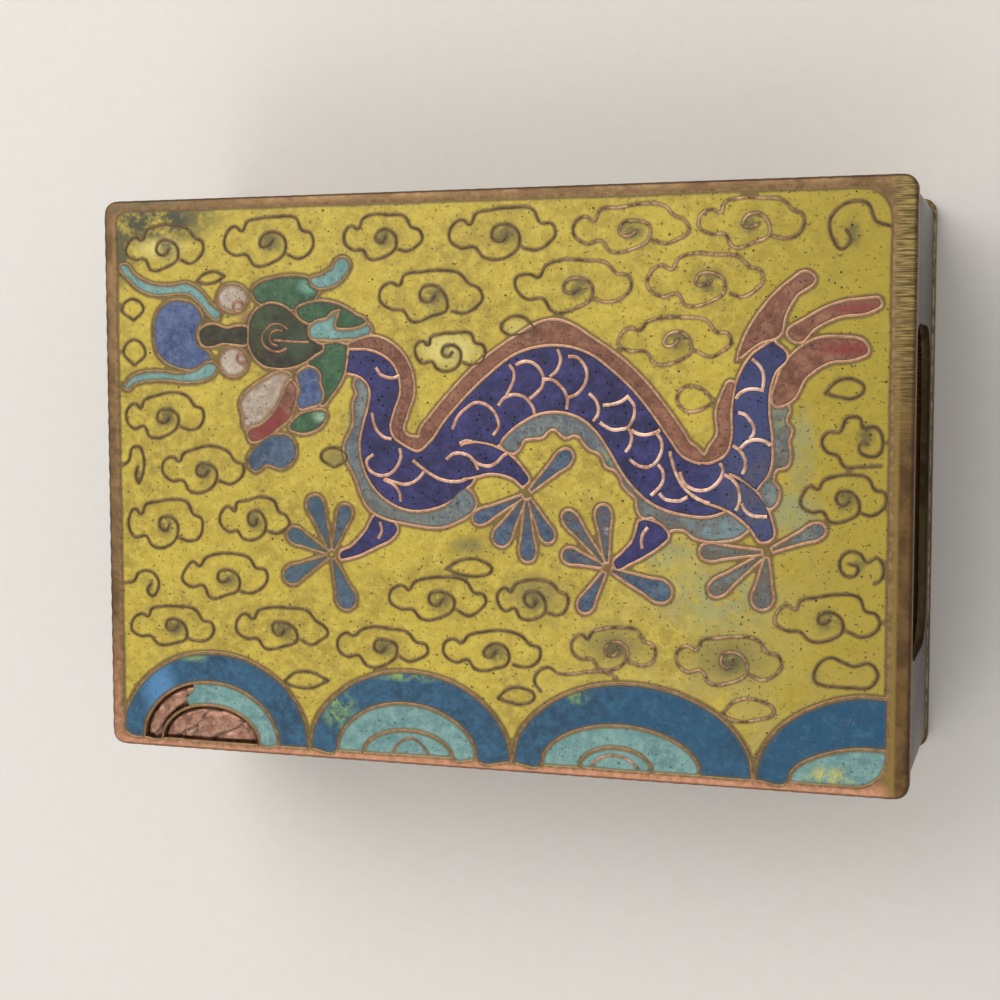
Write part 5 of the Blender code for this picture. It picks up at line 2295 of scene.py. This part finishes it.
@dataclass
class EnamelFace:
    """One enamelled face: its plate, its glass and the wires in the glass.

    Attributes:
        plate: CAD node of the plate.
        side: Which face it is.
        wires: Wires that lie in one piece of glass, by its node.
        pits: Pinholes by node.
        joins: Other nodes that a node's glass runs on into.
        bridges: Outlines that take away the ridge between joined nodes.
        redrawn: Finer outlines for some nodes.
        trimmed: Other nodes that lie over some nodes' outlines.
        lost: Outlines of the parts that some nodes' glass has lost.
        bare: Outlines of whole cells without glass.
    """

    plate: str
    side: Side
    wires: dict[str, list[Line]]
    pits: dict[str, int]
    joins: dict[str, tuple[str, ...]] = field(default_factory=dict)
    bridges: dict[str, tuple[Line, ...]] = field(default_factory=dict)
    redrawn: dict[str, list[Line]] = field(default_factory=dict)
    trimmed: dict[str, tuple[str, ...]] = field(default_factory=dict)
    lost: dict[str, tuple[Line, ...]] = field(default_factory=dict)
    bare: list[Line] = field(default_factory=list)

    def build(self, frame: dict, nodes: list[str], draw: random.Random) -> list[bpy.types.Object]:
        """Make the plate and its glass.

        Args:
            nodes: CAD nodes of its glass.
            draw: Random numbers.

        Returns:
            The pieces.
        """
        level = face_level(self.plate, self.side)
        outlines = {name: self.outlines(frame["nodes"][name]) for name in nodes}
        outlines.update({name: [laid(line, True) for line in lines] for name, lines in self.redrawn.items()})
        merged = {other for parts in self.joins.values() for other in parts}
        for name, parts in self.joins.items():
            outlines[name] = outlines[name] + [line for part in parts for line in outlines[part]]
            outlines[name] += [laid(bridge) for bridge in self.bridges.get(name, ())]
        fields = []
        for name in nodes:
            if name in merged:
                continue
            joined = tuple(self.joins.get(name, ()))
            outers = outlines[name]
            is_ground = name.endswith("ground")
            cut = [other for other in nodes if other != name] if is_ground else self.trimmed.get(name, ())
            holes = [grown(loop, WIRE_WIDTH) for other in cut for loop in outlines[other]]
            holes += [list(anticlockwise(line)) for line in self.lost.get(name, ())]
            grain = GROUND_GRAIN if is_ground else GLASS_GRAIN
            wires, pits = self.wires.get(name, []), self.pits.get(name, 0)
            fields.append(GlassField(name, self.side, level, outers, holes, joined, wires, grain, pits))
        made = [f.build(draw) for f in fields]
        bare = [laid(line) for line in self.bare] + [line for name in self.lost for line in outlines[name]]
        made.append(Plate(self.plate, self.side, fields, bare).build(draw))
        return made

    def outlines(self, node: bpy.types.Object) -> list[Line]:
        """Outer outline of a piece of glass, made to flow.

        Args:
            node: CAD node of the glass.

        Returns:
            Its largest outline, alone in a list.
        """
        loops = loops_at(node, outer_height(node, self.side))
        widest = max(loops, key=lambda loop: math.dist(*corners_of(loop)))
        line = laid(self.tidy(widest), node.name.startswith(SOFT_ENDED))
        return [line if node.name.endswith("ground") else grown(line, CELL_GROWTH)]

    @staticmethod
    def tidy(loop: Line) -> Line:
        """The outline without points that all but coincide.

        Args:
            loop: Closed outline.

        Returns:
            The tidier outline.
        """
        made = []
        for point in loop:
            if not made or math.dist(point, made[-1]) > 0.02:
                made.append(point)
        return made


def laid(outline: Line, soft: bool = False) -> Line:
    """A closed outline as it is laid by hand.

    Args:
        outline: Its corners.
        soft: Whether square corners are rounded too.

    Returns:
        The outline, flowing, with a little wander.
    """
    turn = WIRE_SHARP_TURN if soft else SHARP_TURN
    return [wander(x, y) for x, y in flowing(anticlockwise(list(outline)), True, LINE_STEP, turn)]


def listed(wires: dict[str, list[Line]]) -> list[Line]:
    """All the wires of some pieces, one after the other."""
    return [line for lines in wires.values() for line in lines]


def empty_cell(plate: bpy.types.Object, place: Point) -> Line:
    """Outline of the floor of a plate's cell.

    Args:
        plate: CAD node of the plate.
        place: A point in the cell.

    Returns:
        The smallest outline below the face that has the point in its box.
    """
    heights = sorted({round(vert.co.z / MM, 3) for vert in plate.data.vertices})
    found = []
    for height in heights[:-1]:
        for loop in loops_at(plate, height * MM):
            low, high = corners_of(loop)
            if low[0] < place[0] < high[0] and low[1] < place[1] < high[1]:
                found.append(loop)
    return min(found, key=lambda loop: math.dist(*corners_of(loop)))


def drawn_wires(lines: Sequence[Line]) -> list[Line]:
    """Wires as they are laid: flowing, with the hand's wander."""
    return [[wander(x, y) for x, y in flowing(line, False, 0.13, WIRE_SHARP_TURN)] for line in lines]


def drawn_on(line: Line, reach: float) -> Line:
    """A line with both its ends drawn further.

    Args:
        line: Points of the line.
        reach: How far.

    Returns:
        The longer line.
    """
    ends = []
    for end, inner in ((line[0], line[1]), (line[-1], line[-2])):
        share = 1.0 + reach / math.dist(end, inner)
        ends.append(tuple(b + share * (a - b) for a, b in zip(end, inner)))
    return [ends[0], *line[1:-1], ends[1]]


def report(pieces: Sequence[bpy.types.Object]) -> None:
    """Log each piece with its number of faces."""
    for piece in pieces:
        LOG.info("%s: %d faces", piece.name, len(piece.data.polygons))


def main() -> None:
    """Build every piece in order."""
    logging.basicConfig(level=logging.INFO, format="%(name)s: %(message)s")
    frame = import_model()
    # Noise that gives vectors has the time as its seed unless it is given one
    noise.seed_set(SEED)
    draw = random.Random(SEED)
    Studio().build()

    names = sorted(frame["nodes"])
    under = [name for name in names if name.startswith("under_")]
    over = [name for name in names if name not in (*under, *METAL_NODES)]
    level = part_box("top_plate")[1].z / MM

    cloud_wires = drawn_wires([*(cloud.line() for cloud in CLOUDS), *GROUND_WIRES])
    pupil_wires = {name: drawn_wires(lines) for name, lines in PUPIL_WIRES.items()}
    wave_wires = {name: drawn_wires(lines) for name, lines in WAVE_WIRES.items()}
    leg_wires = {name: drawn_wires(lines) for name, lines in LEG_WIRES.items()}
    toes = {name: [toe_outline(hub, *toe) for toe in paw] for name, (hub, paw) in PAWS.items()}
    body_wires = drawn_wires([drawn_on(line, SCALE_REACH) for line in BODY_WIRES])
    crown_wires = drawn_wires(CROWN_WIRES)
    wires = {"ground": cloud_wires, "body": body_wires, "crown": crown_wires}
    face = EnamelFace(
        "top_plate",
        Side.FACE,
        wires=wires | pupil_wires | wave_wires | leg_wires,
        pits={"ground": 340, "body": 620},
        joins={"body": ("foreleg_far", "hind_leg_near")},
        bridges={"body": BODY_BRIDGES},
        redrawn=toes | {name: [line] for name, line in REDRAWN.items()},
        trimmed=TRIMMED,
        lost=LOST,
        bare=[empty_cell(frame["nodes"]["top_plate"], (-20.9, -18.5))],
    )
    report(face.build(frame, over, draw))

    under_wires = drawn_wires([cloud.line() for cloud in UNDER_CLOUDS])
    underside = EnamelFace(
        "bottom_plate", Side.UNDERSIDE, wires={"under_ground": under_wires}, pits={"under_ground": 90}
    )
    report(underside.build(frame, under, draw))

    dull = WireMetal("dull_wire", "copper", (78, 62, 38), (108, 86, 54), (186, 146, 116))
    bright = WireMetal("bright_wire", "copper", (166, 122, 98), (214, 172, 144), (228, 190, 164))
    copper = WireMetal("copper_wire", "copper", (120, 84, 60), (160, 116, 88), (196, 156, 128))
    works = (
        WireWork("cloud_wires", dull, Side.FACE, level, cloud_wires),
        WireWork("scale_wires", bright, Side.FACE, level, body_wires, SCALE_RADIUS),
        WireWork("leg_wires", bright, Side.FACE, level, listed(leg_wires), SCALE_RADIUS),
        WireWork("crown_wires", copper, Side.FACE, level, crown_wires),
        WireWork("pupil_wires", copper, Side.FACE, level, listed(pupil_wires)),
        WireWork("wave_wires", copper, Side.FACE, level, listed(wave_wires)),
        WireWork("under_cloud_wires", dull, Side.UNDERSIDE, 0.0, under_wires),
    )
    report([work.build() for work in works])
    report([Walls().build(frame), SolderSeams().build(frame)])

    deselect_all()


if __name__ == "__main__":
    main()
